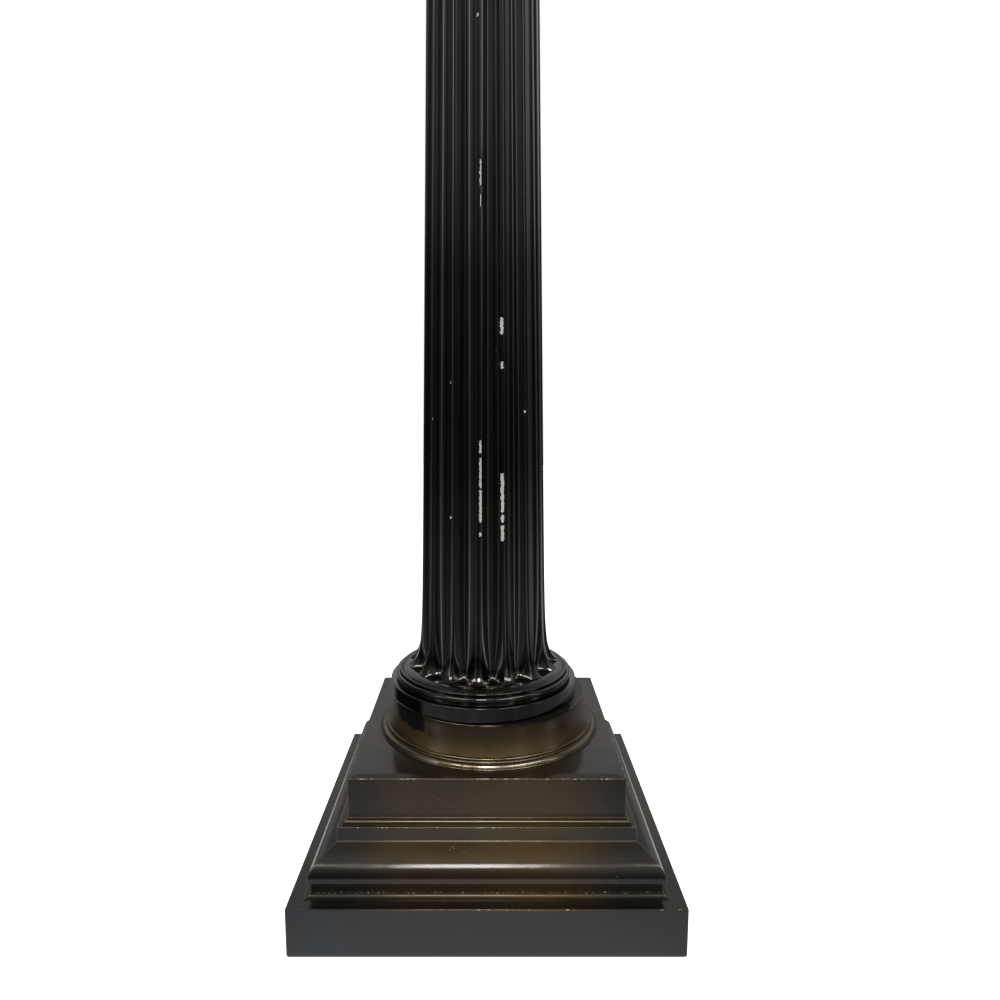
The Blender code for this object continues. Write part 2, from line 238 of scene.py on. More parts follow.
def square_ring(reach: float, level: float, centre: Vector, corner: float, steps: int) -> tuple[Ring, list[float]]:
    """Return the points of a level square with rounded corners.

    Args:
        reach: Half the width of the square.
        level: Height of the ring.
        centre: Point on its axis.
        corner: Radius of the corners.
        steps: Number of stretches along a side.

    Returns:
        The points, counterclockwise from above, and how near each one is to a corner, from 0 to 1.
    """
    points: Ring = []
    near: list[float] = []
    for quarter in range(4):
        turn = Matrix.Rotation(math.radians(90 * quarter), 3, "Z")
        local = [(Vector((place, -reach, 0.0)), 0.0) for place in square_side(reach, corner, steps)]
        local[0] = (local[0][0], 1.0)
        local[-1] = (local[-1][0], 1.0)
        for index in range(1, 4):
            angle = math.radians(-90 + 90 * index / 4)
            offset = Vector((math.cos(angle), math.sin(angle), 0.0)) * corner
            local.append((Vector((reach - corner, corner - reach, 0.0)) + offset, 1.0))
        for point, share in local:
            points.append(turn @ point + Vector((centre.x, centre.y, level)))
            near.append(share)
    return points, near


def loft(name: str, rings: list[Ring], wear: dict[Wear, list[float]]) -> bpy.types.Mesh:
    """Return a closed mesh through rings of equal counts, with its wear.

    Args:
        name: Name of the mesh.
        rings: Rings from the lowest to the highest, each counterclockwise from above.
        wear: One value for each point, ring by ring, for each kind of wear.

    Returns:
        The mesh, shaded smooth.
    """
    count = len(rings[0])
    faces = []
    for lower in range(len(rings) - 1):
        for index in range(count):
            after = (index + 1) % count
            base, top = lower * count, (lower + 1) * count
            faces.append((base + index, base + after, top + after, top + index))
    faces.append(tuple(reversed(range(count))))
    last = (len(rings) - 1) * count
    faces.append(tuple(range(last, last + count)))
    mesh = bpy.data.meshes.new(name)
    mesh.from_pydata([point for ring in rings for point in ring], [], faces)
    for kind, values in wear.items():
        mesh.attributes.new(kind.value, "FLOAT", "POINT").data.foreach_set("value", values)
    mesh.shade_smooth()
    mesh.set_sharp_from_angle(angle=CREASE_ANGLE)
    return mesh


# Finishes


class Nodes:
    """Short calls for building a node tree."""

    def __init__(self, tree: bpy.types.NodeTree) -> None:
        """Keep the tree that the calls add to."""
        self.tree = tree

    def node(self, kind: str, settings: dict[str, object], inputs: dict[object, object]) -> bpy.types.Node:
        """Add a node.

        Args:
            kind: Type of the node.
            settings: Properties of the node.
            inputs: A plain value or another node's output for each input, by name or number.

        Returns:
            The node.
        """
        node = self.tree.nodes.new(kind)
        for key, value in settings.items():
            setattr(node, key, value)
        for key, value in inputs.items():
            if isinstance(value, bpy.types.NodeSocket):
                self.tree.links.new(value, node.inputs[key])
            else:
                node.inputs[key].default_value = value
        return node

    def step(self, source: bpy.types.NodeSocket, low: float, high: float, top: float = 1.0) -> bpy.types.NodeSocket:
        """Return a smooth step.

        Args:
            source: The value to read.
            low: Where the step begins; above high, the step falls.
            high: Where the step ends.
            top: Height of the step.

        Returns:
            A value from 0 to top.
        """
        inputs = {"Value": source, "From Min": low, "From Max": high, "To Max": top}
        return self.node("ShaderNodeMapRange", {"interpolation_type": "SMOOTHSTEP"}, inputs).outputs["Result"]

    def combine(self, operation: Operation, first: object, second: object) -> bpy.types.NodeSocket:
        """Return the result of arithmetic on two values."""
        return self.node("ShaderNodeMath", {"operation": operation.value}, {0: first, 1: second}).outputs[0]

    def add(self, first: object, second: object) -> bpy.types.NodeSocket:
        """Return the sum of two values."""
        return self.combine(Operation.ADD, first, second)

    def times(self, first: object, second: object) -> bpy.types.NodeSocket:
        """Return the product of two values."""
        return self.combine(Operation.MULTIPLY, first, second)

    def most(self, first: object, second: object) -> bpy.types.NodeSocket:
        """Return the larger of two values."""
        return self.combine(Operation.MAXIMUM, first, second)

    def split(self, vector: bpy.types.NodeSocket) -> dict[str, bpy.types.NodeSocket]:
        """Return a vector's parts under X, Y and Z."""
        parts = self.node("ShaderNodeSeparateXYZ", {}, {0: vector})
        return {axis: parts.outputs[axis] for axis in "XYZ"}

    def profile(self, source: bpy.types.NodeSocket, stops: Profile) -> bpy.types.NodeSocket:
        """Return a value read from a smooth line through stops.

        Args:
            source: Where to read, from 0 to 1.
            stops: Pairs of a place from 0 to 1 and the value there, from 0 to 1.

        Returns:
            The value.
        """
        node = self.node("ShaderNodeValToRGB", {}, {0: source})
        node.color_ramp.interpolation = "EASE"
        points = node.color_ramp.elements
        while len(points) < len(stops):
            points.new(0.5)
        for point, (place, value) in zip(points, stops):
            point.position = place
            point.color = (value, value, value, 1.0)
        return node.outputs["Color"]


@dataclass(frozen=True)
class Grain:
    """Smooth random values: clouds to a metre, finer layers, a shift that sets it apart, and a factor on each axis."""

    scale: float
    detail: float = 2.0
    shift: float = 0.0
    stretch: Colour = (1.0, 1.0, 1.0)


class Recipe(Nodes):
    """A material under construction: one Principled shader and the nodes that feed it."""

    def __init__(self, name: str, values: dict[str, float]) -> None:
        """Start a material.

        Args:
            name: Name of the material.
            values: Plain values of the shader's sockets that are the same all over.
        """
        self.material = bpy.data.materials.new(name)
        self.material.use_nodes = True
        super().__init__(self.material.node_tree)
        self.shader = self.tree.nodes["Principled BSDF"]
        for socket, value in values.items():
            self.shader.inputs[socket].default_value = value
        self.coordinates = self.tree.nodes.new("ShaderNodeTexCoord").outputs["Object"]

    def noise(self, grain: Grain) -> bpy.types.NodeSocket:
        """Return smooth random values, fixed to the object.

        Args:
            grain: Their scale and kind.

        Returns:
            A value of about 0.3 to 0.7.
        """
        shift = (grain.shift, grain.shift, grain.shift)
        inputs = {"Vector": self.coordinates, "Scale": grain.stretch, "Location": shift}
        mapping = self.node("ShaderNodeMapping", {}, inputs)
        inputs = {"Vector": mapping.outputs[0], "Scale": grain.scale, "Detail": grain.detail}
        return self.node("ShaderNodeTexNoise", {}, inputs).outputs[0]

    def patches(self, grain: Grain, levels: Pair, top: float = 1.0) -> bpy.types.NodeSocket:
        """Return patches of a grain: where it passes a range of levels.

        Args:
            grain: The grain.
            levels: Where the patches begin and where they are full.
            top: Their full value.

        Returns:
            A value from 0 to top.
        """
        return self.step(self.noise(grain), *levels, top)

    def cells(self, scale: float) -> bpy.types.NodeSocket:
        """Return the distance to the nearest of scattered points, in shares of their spacing."""
        inputs = {"Vector": self.coordinates, "Scale": scale}
        return self.node("ShaderNodeTexVoronoi", {}, inputs).outputs["Distance"]

    def blend(self, factor: object, first: object, second: object) -> bpy.types.NodeSocket:
        """Return a colour between two.

        Args:
            factor: Share of the second colour.
            first: A colour or a node's output.
            second: A colour or a node's output.

        Returns:
            The mixed colour.
        """
        sides = [(*side, 1.0) if isinstance(side, tuple) else side for side in (first, second)]
        inputs = {0: factor, 6: sides[0], 7: sides[1]}
        return self.node("ShaderNodeMix", {"data_type": "RGBA"}, inputs).outputs[2]

    def wear(self, kind: Wear) -> bpy.types.NodeSocket:
        """Return one kind of the mesh's wear."""
        return self.node("ShaderNodeAttribute", {"attribute_name": kind.value}, {}).outputs["Fac"]

    def bump(self, height: object, distance: float, under: object = None) -> bpy.types.NodeSocket:
        """Return a bumped normal.

        Args:
            height: The relief, from 0 to 1.
            distance: Its depth in metres.
            under: A normal that is already bumped.

        Returns:
            The normal.
        """
        inputs = {"Height": height, "Distance": distance, "Strength": 1.0}
        if under is not None:
            inputs["Normal"] = under
        return self.node("ShaderNodeBump", {}, inputs).outputs["Normal"]

    def feed(self, source: bpy.types.NodeSocket, socket: str) -> None:
        """Link a node's output to one of the shader's sockets."""
        self.tree.links.new(source, self.shader.inputs[socket])


@dataclass(frozen=True)
class PaintedDarkArea:
    """A black area painted over the front of a bronze part, from side to side and down to a level."""

    left: float
    right: float
    level: float
    waver: float
    side_fade: float = 0.002
    level_fade: float = 0.0006
    front: Pair = (0.0, -0.010)
    sway: Grain = Grain(70.0, 3.0, 4.4)
    drop: Grain = Grain(90.0, 3.0, 8.2)
    waver_levels: Pair = (0.3, 0.7)

    def mask(self, recipe: Recipe) -> bpy.types.NodeSocket:
        """Return 1 on the painted dark area and 0 elsewhere, with a wavering outline.

        Args:
            recipe: The material under construction.

        Returns:
            The mask.
        """
        place = recipe.split(recipe.coordinates)
        across = recipe.add(place["X"], recipe.patches(self.sway, self.waver_levels, self.waver))
        height = recipe.add(place["Z"], recipe.patches(self.drop, self.waver_levels, self.waver))
        past_left = recipe.step(across, self.left, self.left + self.side_fade)
        before_right = recipe.step(across, self.right, self.right - self.side_fade)
        above = recipe.step(height, self.level, self.level + self.level_fade)
        inside = recipe.times(recipe.times(past_left, before_right), above)
        return recipe.times(inside, recipe.step(place["Y"], *self.front))


@dataclass(frozen=True)
class SatinBronze:
    """Cast bronze with a dark brown patina under wax, rubbed pale on its arrises.

    The warm patina is kept in the middle of each side and turns a darker grey towards its ends: painted light, the
    sheen of the front lamps falling off. It is cool on the slab. Flat tops and the low part of the torus are painted
    darker: painted shade. Bare values are shares of the wax and the metal that a mark takes away.
    """

    name: str = "satin_bronze"
    wax: float = 0.75
    wax_roughness: float = 0.14
    metallic: float = 0.62
    metallic_levels: Pair = (0.0, 0.6)
    roughness: float = 0.42
    roughness_range: float = 0.10
    sheen_patches: Grain = Grain(35.0, 4.0, 1.7)
    sheen_levels: Pair = (0.3, 0.7)
    polish: float = 0.26
    polish_levels: Pair = (0.40, 0.70)
    bare_roughness: float = 0.2
    bare_rub: float = 0.8
    bare_painted_dark_area: float = 0.8

    grain: Grain = Grain(900.0, 3.0)
    grain_depth: float = 0.000022
    waves: Grain = Grain(26.0, 2.0, 5.3)
    wave_depth: float = 0.00022
    mark_depth: float = 0.00012

    deep: Colour = (0.024, 0.0175, 0.0090)
    warm: Colour = (0.062, 0.038, 0.0125)
    clouds: Grain = Grain(9.0, 4.0)
    cloud_levels: Pair = (0.22, 0.72)
    grain_levels: Pair = (0.3, 0.8)
    grain_share: float = 0.2
    # Painted light: the darker grey the patina turns to towards the ends of each side, away from the lamps' sheen.
    painted_dim_end: Colour = (0.0165, 0.0155, 0.0130)
    painted_dim_end_reach: Pair = (0.045, 0.115)
    cool: Colour = (0.0165, 0.0165, 0.0156)
    slate: Colour = (0.0165, 0.0230, 0.0310)
    slab_clouds: Grain = Grain(8.0, 3.0, 3.1)
    slab_cloud_levels: Pair = (0.42, 0.62)
    slab_levels: Pair = (0.0411, 0.0385)
    # Painted shade: the colour laid on flat tops, low on the torus and over the painted dark areas.
    shade: Colour = (0.003, 0.0027, 0.0022)
    shade_share: float = 0.6
    shaded_flat_slopes: Pair = (0.90, 0.98)
    shaded_torus_levels: Pair = (0.0780, 0.0600)
    shaded_torus_foot: Pair = (0.0562, 0.0570)

    metal: Colour = (0.130, 0.098, 0.050)
    rub_patches: Grain = Grain(45.0, 4.0)
    rub_levels: Pair = (0.20, 0.50)
    bright: Colour = (0.150, 0.130, 0.092)
    bright_levels: Pair = (0.55, 0.85)
    deposit: Colour = (0.26, 0.23, 0.17)
    deposit_grains: Grain = Grain(520.0, 3.0)
    deposit_levels: Pair = (0.58, 0.66)
    rubbed: Colour = (0.36, 0.34, 0.30)
    arris_breaks: Grain = Grain(70.0, 5.0, 0.4)
    arris_grit: Grain = Grain(420.0, 3.0, 2.2)
    arris_levels: Pair = (1.04, 1.16)
    arris_share: float = 0.75
    speck_scale: float = 330.0
    speck_sizes: Pair = (0.13, 0.07)
    speck_patches: Grain = Grain(60.0, 3.0, 7.7)
    speck_levels: Pair = (0.64, 0.70)
    speck_share: float = 0.6
    painted_dark_areas: tuple[PaintedDarkArea, ...] = ()

    def make(self) -> bpy.types.Material:
        """Return the material."""
        recipe = Recipe(self.name, {"Coat Roughness": self.wax_roughness, **UNDER_COAT})
        grain = recipe.noise(self.grain)
        rubbed = recipe.times(recipe.wear(Wear.RUB), recipe.patches(self.rub_patches, self.rub_levels))
        deposits = recipe.times(recipe.wear(Wear.DIRT), recipe.patches(self.deposit_grains, self.deposit_levels))
        marks = self.marks(recipe)
        base = recipe.blend(rubbed, self.patina(recipe, grain), self.metal)
        base = recipe.blend(recipe.step(rubbed, *self.bright_levels), base, self.bright)
        base = recipe.blend(marks, base, self.rubbed)
        base = recipe.blend(deposits, base, self.deposit)
        bare = recipe.most(marks, deposits)
        metal = recipe.add(recipe.step(rubbed, *self.metallic_levels, 1.0 - self.metallic), self.metallic)
        # Painted dark areas: black painted over the patina, with no metal and less wax; on the bell foot's left it is
        # a painted dark reflection.
        for painted_dark_area in self.painted_dark_areas:
            black = painted_dark_area.mask(recipe)
            base = recipe.blend(black, base, self.shade)
            metal = recipe.times(metal, recipe.step(black, 1.0, 0.0))
            bare = recipe.most(bare, recipe.step(black, 0.0, 1.0, self.bare_painted_dark_area))
        recipe.feed(base, "Base Color")
        recipe.feed(recipe.times(metal, recipe.step(bare, 1.0, 0.0)), "Metallic")
        rough = recipe.add(recipe.patches(self.sheen_patches, self.sheen_levels, self.roughness_range), self.roughness)
        rough = recipe.combine(Operation.SUBTRACT, rough, recipe.step(rubbed, *self.polish_levels, self.polish))
        recipe.feed(recipe.add(rough, recipe.step(bare, 0.0, 1.0, self.bare_roughness)), "Roughness")
        normal = recipe.bump(recipe.noise(self.waves), self.wave_depth)
        normal = recipe.bump(grain, self.grain_depth, normal)
        normal = recipe.bump(marks, -self.mark_depth, normal)
        recipe.feed(normal, "Normal")
        recipe.feed(normal, "Coat Normal")
        worn = recipe.most(bare, recipe.step(rubbed, 0.0, 1.0, self.bare_rub))
        recipe.feed(recipe.step(worn, 1.0, 0.0, self.wax), "Coat Weight")
        return recipe.material

    def patina(self, recipe: Recipe, grain: bpy.types.NodeSocket) -> bpy.types.NodeSocket:
        """Return the colour of the untouched patina, with painted light in the middle of each side and painted shade.

        Args:
            recipe: The material under construction.
            grain: Its finest noise.

        Returns:
            The colour.
        """
        fine = recipe.step(grain, *self.grain_levels, self.grain_share)
        clouds = recipe.add(recipe.patches(self.clouds, self.cloud_levels), fine)
        # Painted light: away from the middle of each side the warm patina turns to a darker grey, as the lamps' sheen
        # falls off.
        away = recipe.node("ShaderNodeVectorMath", {"operation": "ABSOLUTE"}, {0: recipe.coordinates})
        away = recipe.split(away.outputs[0])
        ends = recipe.step(recipe.combine(Operation.MINIMUM, away["X"], away["Y"]), *self.painted_dim_end_reach)
        base = recipe.blend(ends, recipe.blend(clouds, self.deep, self.warm), self.painted_dim_end)
        level = recipe.split(recipe.coordinates)["Z"]
        slab = recipe.blend(recipe.patches(self.slab_clouds, self.slab_cloud_levels), self.cool, self.slate)
        base = recipe.blend(recipe.step(level, *self.slab_levels), base, slab)
        # Painted shade: flat tops are darkened by their upward normal.
        normal = recipe.split(recipe.tree.nodes.new("ShaderNodeNewGeometry").outputs["Normal"])
        base = recipe.blend(recipe.step(normal["Z"], *self.shaded_flat_slopes, self.shade_share), base, self.shade)
        # Painted shade: the torus low down and the foot of the slope above it are darkened, below the torus's
        # highlight.
        low = recipe.step(level, *self.shaded_torus_levels, self.shade_share)
        return recipe.blend(recipe.times(low, recipe.step(level, *self.shaded_torus_foot)), base, self.shade)

    def marks(self, recipe: Recipe) -> bpy.types.NodeSocket:
        """Return the mask of rubbed arrises and small specks.

        Args:
            recipe: The material under construction.

        Returns:
            1 on a mark and 0 elsewhere.
        """
        ragged = recipe.add(recipe.noise(self.arris_breaks), recipe.noise(self.arris_grit))
        worn = recipe.step(recipe.times(recipe.wear(Wear.EDGE), ragged), *self.arris_levels, self.arris_share)
        specks = recipe.step(recipe.cells(self.speck_scale), *self.speck_sizes)
        specks = recipe.times(specks, recipe.patches(self.speck_patches, self.speck_levels, self.speck_share))
        return recipe.most(worn, specks)


@dataclass(frozen=True)
class BlackLacquer:
    """Brown-black lacquer under a glossy coat, chipped to its pale ground."""

    name: str = "black_lacquer"
    gloss_roughness: float = 0.05
    roughness: float = 0.22
    roughness_range: float = 0.10
    sheen_patches: Grain = Grain(30.0, 3.0, 1.3)
    sheen_levels: Pair = (0.3, 0.7)
    bare_roughness: float = 0.4
    runs: Grain = Grain(90.0, 2.0, 2.9, (1.0, 1.0, 0.05))
    run_depth: float = 0.00006
    peel: Grain = Grain(300.0, 2.0)
    peel_depth: float = 0.00001
    deep: Colour = (0.004, 0.004, 0.0035)
    warm: Colour = (0.016, 0.015, 0.0115)
    low_warm: Colour = (0.022, 0.016, 0.010)
    low_levels: Pair = (0.40, 0.24)
    streaks: Grain = Grain(150.0, 3.0, stretch=(1.0, 1.0, 0.03))
    streak_levels: Pair = (0.35, 0.7)
    ground: Colour = (0.54, 0.53, 0.50)
    chip_outline: Grain = Grain(700.0, 3.0)
    chip_outline_levels: Pair = (0.3, 0.7)
    chip_raggedness: float = 0.45
    chip_levels: Pair = (0.72, 0.80)
    speck_scale: float = 170.0
    speck_sizes: Pair = (0.075, 0.045)
    speck_patches: Grain = Grain(40.0, 2.0, 4.1)
    speck_levels: Pair = (0.66, 0.68)
    speck_share: float = 0.6

    def make(self) -> bpy.types.Material:
        """Return the material."""
        recipe = Recipe(self.name, {"Coat Weight": 1.0, "Coat Roughness": self.gloss_roughness, **UNDER_COAT})
        level = recipe.split(recipe.coordinates)["Z"]
        warm = recipe.blend(recipe.step(level, *self.low_levels), self.warm, self.low_warm)
        base = recipe.blend(recipe.patches(self.streaks, self.streak_levels), self.deep, warm)
        chips = self.chips(recipe)
        recipe.feed(recipe.blend(chips, base, self.ground), "Base Color")
        recipe.feed(recipe.step(chips, 1.0, 0.0), "Metallic")
        rough = recipe.add(recipe.patches(self.sheen_patches, self.sheen_levels, self.roughness_range), self.roughness)
        recipe.feed(recipe.add(rough, recipe.step(chips, 0.0, 1.0, self.bare_roughness)), "Roughness")
        normal = recipe.bump(recipe.noise(self.runs), self.run_depth)
        normal = recipe.bump(recipe.noise(self.peel), self.peel_depth, normal)
        recipe.feed(normal, "Normal")
        recipe.feed(normal, "Coat Normal")
        return recipe.material

    def chips(self, recipe: Recipe) -> bpy.types.NodeSocket:
        """Return the mask of the mesh's chips, with ragged outlines, and of small specks.

        Args:
            recipe: The material under construction.

        Returns:
            1 where the ground is bare and 0 elsewhere.
        """
        ragged = recipe.patches(self.chip_outline, self.chip_outline_levels, self.chip_raggedness)
        chips = recipe.step(recipe.add(recipe.wear(Wear.CHIP), ragged), *self.chip_levels)
        specks = recipe.step(recipe.cells(self.speck_scale), *self.speck_sizes)
        specks = recipe.times(specks, recipe.patches(self.speck_patches, self.speck_levels, self.speck_share))
        return recipe.most(chips, specks)


# Pieces


@dataclass
class Piece:
    """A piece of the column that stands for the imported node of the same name."""

    node: str
    slot: Slot
    material: bpy.types.Material

    def __post_init__(self) -> None:
        """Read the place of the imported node."""
        low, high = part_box(self.node)
        self.low, self.high = low, high
        self.centre = (low + high) / 2

    def mesh(self) -> bpy.types.Mesh:
        """Return the piece's mesh, in its place."""
        raise NotImplementedError

    def build(self) -> bpy.types.Object:
        """Build and dress the piece, and hand it to the frame.

        Returns:
            The new object.
        """
        mesh = self.mesh()
        mesh.materials.clear()
        mesh.materials.append(self.material)
        piece = bpy.data.objects.new(f"{self.node}_form", mesh)
        bpy.context.scene.collection.objects.link(piece)
        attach(piece, BODY)
        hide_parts(self.node)
        LOG.info("%s: %d faces", piece.name, len(mesh.polygons))
        return piece


@dataclass
class TurnedPiece(Piece):
    """A round piece, lofted through the circles of its outline."""

    sides: int = 256

    def outline(self) -> Outline:
        """Return the outline, its levels counted from the piece's foot."""
        raise NotImplementedError

    def mesh(self) -> bpy.types.Mesh:
        """Return the turned mesh."""
        stations = self.outline().stations
        rings = [round_ring(one.reach, self.low.z + one.level, self.centre, self.sides) for one in stations]
        wear = {
            Wear.EDGE: [one.edge for one in stations for _ in range(self.sides)],
            Wear.RUB: [one.rub for one in stations for _ in range(self.sides)],
            Wear.DIRT: [one.dirt for one in stations for _ in range(self.sides)],
        }
        return loft(self.node, rings, wear)


@dataclass
class Plinth(Piece):
    """Square plinth: a slab, a moulding with a cove, a band, a torus and a slope, a riser, two beads and a die block.

    Every half is half a width. The offsets of the cove's fillet, the neck and the beads are pairs of an outward and
    an upward distance from the corner named with them.
    """

    slab_half: float = 0.1525
    slab_height: float = 0.0415
    slab_round: float = 0.0038
    slab_fall: float = 0.0004
    arris: float = 0.0006
    cove_outer: float = 0.1420
    cove_radius: float = 0.0066
    cove_sink: float = 0.0005
    cove_shift: float = 0.0003
    cove_turn: Pair = (-93.0, -133.0)
    cove_fillet: Pair = (-0.0046, 0.0017)
    cove_fillet_radius: float = 0.0003
    neck: float = 0.1362
    neck_levels: Pair = (0.0022, 0.0030)
    neck_shifts: Pair = (0.0003, -0.0002)
    undercut: float = 0.0022
    moulding_half: float = 0.1385
    band_height: float = 0.0038
    band_chamfer: Pair = (0.0005, 0.0004)
    torus_level: float = 0.0149
    torus_radius: float = 0.0170
    torus_turn: Pair = (12.0, 50.0)
    slope_level: float = 0.0339
    slope_sag: float = -0.0003
    riser_half: float = 0.1185
    riser_height: float = 0.0118
    cap_height: float = 0.0048
    cap_slope: tuple[Pair, ...] = ((0.0056, -0.0002), (0.0037, 0.0006))
    bead: Pair = (0.0011, 0.0007)
    bead_radius: float = 0.0024
    quirk: Pair = (0.0008, 0.0030)
    small_bead: Pair = (0.0002, 0.0038)
    small_bead_radius: float = 0.0007
    die_half: float = 0.1108
    die_foot: float = 0.0030
    die_fall: float = 0.0009
    die_slope: float = 0.0068
    corner: float = 0.0007
    corner_edge: float = 0.80
    corner_rub: float = 0.45
    flat_rise: float = 0.3
    flat_wear: float = 0.2
    side_steps: int = 84

    def mesh(self) -> bpy.types.Mesh:
        """Return the plinth's mesh, its upright corners more worn than its flat ones."""
        outline = Outline()
        self.draw_slab(outline)
        self.draw_moulding(outline)
        self.draw_riser(outline)
        self.draw_die(outline)
        rings, edges, rubs, dirt = [], [], [], []
        for before, one in zip([outline.stations[0], *outline.stations], outline.stations):
            ring, near = square_ring(one.reach, self.low.z + one.level, self.centre, self.corner, self.side_steps)
            rings.append(ring)
            flat = one.level - before.level < self.flat_rise * abs(one.reach - before.reach)
            corner_edge = self.corner_edge * (self.flat_wear if flat else 1.0)
            corner_rub = 0.0 if flat else self.corner_rub
            edges += [max(one.edge, corner_edge * share) for share in near]
            rubs += [max(one.rub, corner_rub * share) for share in near]
            dirt += [one.dirt] * len(ring)
        return loft(self.node, rings, {Wear.EDGE: edges, Wear.RUB: rubs, Wear.DIRT: dirt})

    def draw_slab(self, outline: Outline) -> None:
        """Draw the slab: rounded below, upright, with a crisp top edge."""
        inset = self.slab_half - self.slab_round
        outline.point(inset - 0.001, 0.0)
        outline.arc((inset, self.slab_round), self.slab_round, (-90.0, 0.0), 8)
        edge = self.slab_height - self.slab_fall
        outline.run(self.slab_half, edge - self.arris, 0.006)
        outline.crest(self.slab_half, edge, self.arris, 0.90, 0.1)
        outline.run(self.cove_outer, self.slab_height - self.cove_sink, 0.004)

    def draw_moulding(self, outline: Outline) -> None:
        """Draw the moulding: a cove up to a fillet, a neck, a band, a torus and a slope."""
        base = self.slab_height
        foot = base - self.cove_sink
        outline.arc((self.cove_outer + self.cove_shift, foot + self.cove_radius), self.cove_radius, self.cove_turn, 9)
        fillet = (self.cove_outer + self.cove_fillet[0], base + self.cove_fillet[1])
        outline.arc(fillet, self.cove_fillet_radius, (50.0, 96.0), 4, 0.3)
        outline.point(self.neck + self.neck_shifts[0], base + self.neck_levels[0], dirt=1.0)
        outline.point(self.neck, base + self.neck_levels[1], dirt=0.9)
        level = base + self.torus_level
        band = level - self.band_height
        outline.run(self.neck + self.neck_shifts[1], band - self.undercut, 0.002)
        outline.point(self.moulding_half - self.band_chamfer[0], band - self.band_chamfer[1], 0.2)
        outline.point(self.moulding_half, band, 0.3, 0.0, 0.3)
        outline.run(self.moulding_half, level, 0.002)
        radius = self.torus_radius
        turn = math.radians(self.torus_turn[0])
        centre = (self.moulding_half - radius * math.cos(turn), level - radius * math.sin(turn))
        outline.arc(centre, radius, self.torus_turn, 16)
        outline.hollow(self.riser_half + self.arris, base + self.slope_level, self.slope_sag, 14)

    def draw_riser(self, outline: Outline) -> None:
        """Draw the riser, then the slope and the two beads at the foot of the die."""
        base = self.slab_height + self.slope_level
        top = base + self.riser_height
        outline.point(self.riser_half, base + self.arris, 0.2, 0.0, 0.4)
        outline.run(self.riser_half, top - self.arris, 0.003)
        outline.crest(self.riser_half, top, self.arris, 0.93, 0.6)
        for reach, rise in self.cap_slope:
            outline.run(self.die_half + reach, top + rise, 0.001)
        bead = (self.die_half + self.bead[0], top + self.bead[1])
        outline.arc(bead, self.bead_radius, (-10.0, 84.0), 10, 0.2, 0.5)
        outline.point(self.die_half + self.quirk[0], top + self.quirk[1])
        bead = (self.die_half + self.small_bead[0], top + self.small_bead[1])
        outline.arc(bead, self.small_bead_radius, (-40.0, 88.0), 6, 0.2, 0.3)

    def draw_die(self, outline: Outline) -> None:
        """Draw the die block, with its worn top edge, and close it."""
        foot = self.slab_height + self.slope_level + self.riser_height + self.cap_height
        top = self.high.z - self.low.z
        outline.run(self.die_half, foot + self.die_foot, 0.001)
        outline.run(self.die_half, top - self.die_fall - self.arris, 0.005)
        outline.crest(self.die_half, top - self.die_fall, self.arris, 1.0, 0.5)
        outline.run(self.die_half - self.die_slope, top, 0.002)
        outline.run(0.5 * self.die_half, top, 0.02)


@dataclass
class BellFoot(TurnedPiece):
    """Bead ring on a thin disc, fillet, hollow bell and lipped rim."""

    bead_outer: float = 0.1001
    disc_height: float = 0.0008
    disc_round: float = 0.0008
    quirk_reach: float = 0.0996
    facet_low: Pair = (0.0995, 0.0014)
    facet_high: Pair = (0.0985, 0.0026)
    bead: Pair = (0.09544, 0.00003)
    bead_radius: float = 0.0040
    fillet: Pair = (0.0933, 0.0059)
    fillet_radius: float = 0.0017
    fillet_foot: Pair = (0.0952, 0.0041)
    rim_radius: float = 0.0870
    rim_lip: float = 0.0005
    rim_height: float = 0.0020
    arris: float = 0.0005
    hollow_power: float = 1.8
    hollow_steps: int = 24
    # Rub at the hollow's foot and at its top: rubbed metal, and painted light from above that makes the foot paler
    # than the top.
    rub_and_sheen: Pair = (0.55, 0.0)

    def outline(self) -> Outline:
        """Return the bell's outline."""
        height = self.high.z - self.low.z
        outline = Outline(0.0003)
        outline.point(self.bead_outer - 0.001, 0.0)
        outline.point(self.bead_outer, 0.0001, rub=0.5)
        outline.crest(self.bead_outer, self.disc_height, self.disc_round, 0.0, 1.0)
        outline.point(self.quirk_reach, self.disc_height + 0.0001)
        outline.point(self.quirk_reach, self.disc_height + 0.0003, rub=0.7)
        outline.point(*self.facet_low, rub=0.9)
        outline.point(*self.facet_high, rub=0.9)
        outline.arc(self.bead, self.bead_radius, (44.0, 92.0), 9, rub=0.8)
        outline.point(*self.fillet_foot)
        outline.arc(self.fillet, self.fillet_radius, (-36.0, 100.0), 11, rub=0.65)
        self.draw_hollow(outline, height - self.rim_height)
        lip = height - self.rim_height + 0.0004 + self.rim_lip
        outline.crest(self.rim_radius, lip, 0.0003, 0.3)
        outline.run(self.rim_radius, height - self.arris, 0.001)
        outline.crest(self.rim_radius, height, self.arris, 0.3, 0.8)
        outline.run(self.rim_radius - 0.004, height, 0.002)
        outline.run(0.5 * self.rim_radius, height, 0.02)
        return outline

    def draw_hollow(self, outline: Outline, top: float) -> None:
        """Draw the hollow bell, rubbed more and more towards its foot, which also paints the foot paler and warmer
        than
        the top: painted light from above.

        Args:
            outline: The outline under construction; its last ring is the bell's foot.
            top: Height of the bell's top.
        """
        foot = outline.stations[-1]
        inner = self.rim_radius - self.rim_lip
        low, high = self.rub_and_sheen
        for index in range(1, self.hollow_steps + 1):
            share = index / self.hollow_steps
            reach = inner + (foot.reach - inner) * (1 - share) ** self.hollow_power
            outline.point(reach, foot.level + (top - foot.level) * share, rub=low + (high - low) * share)


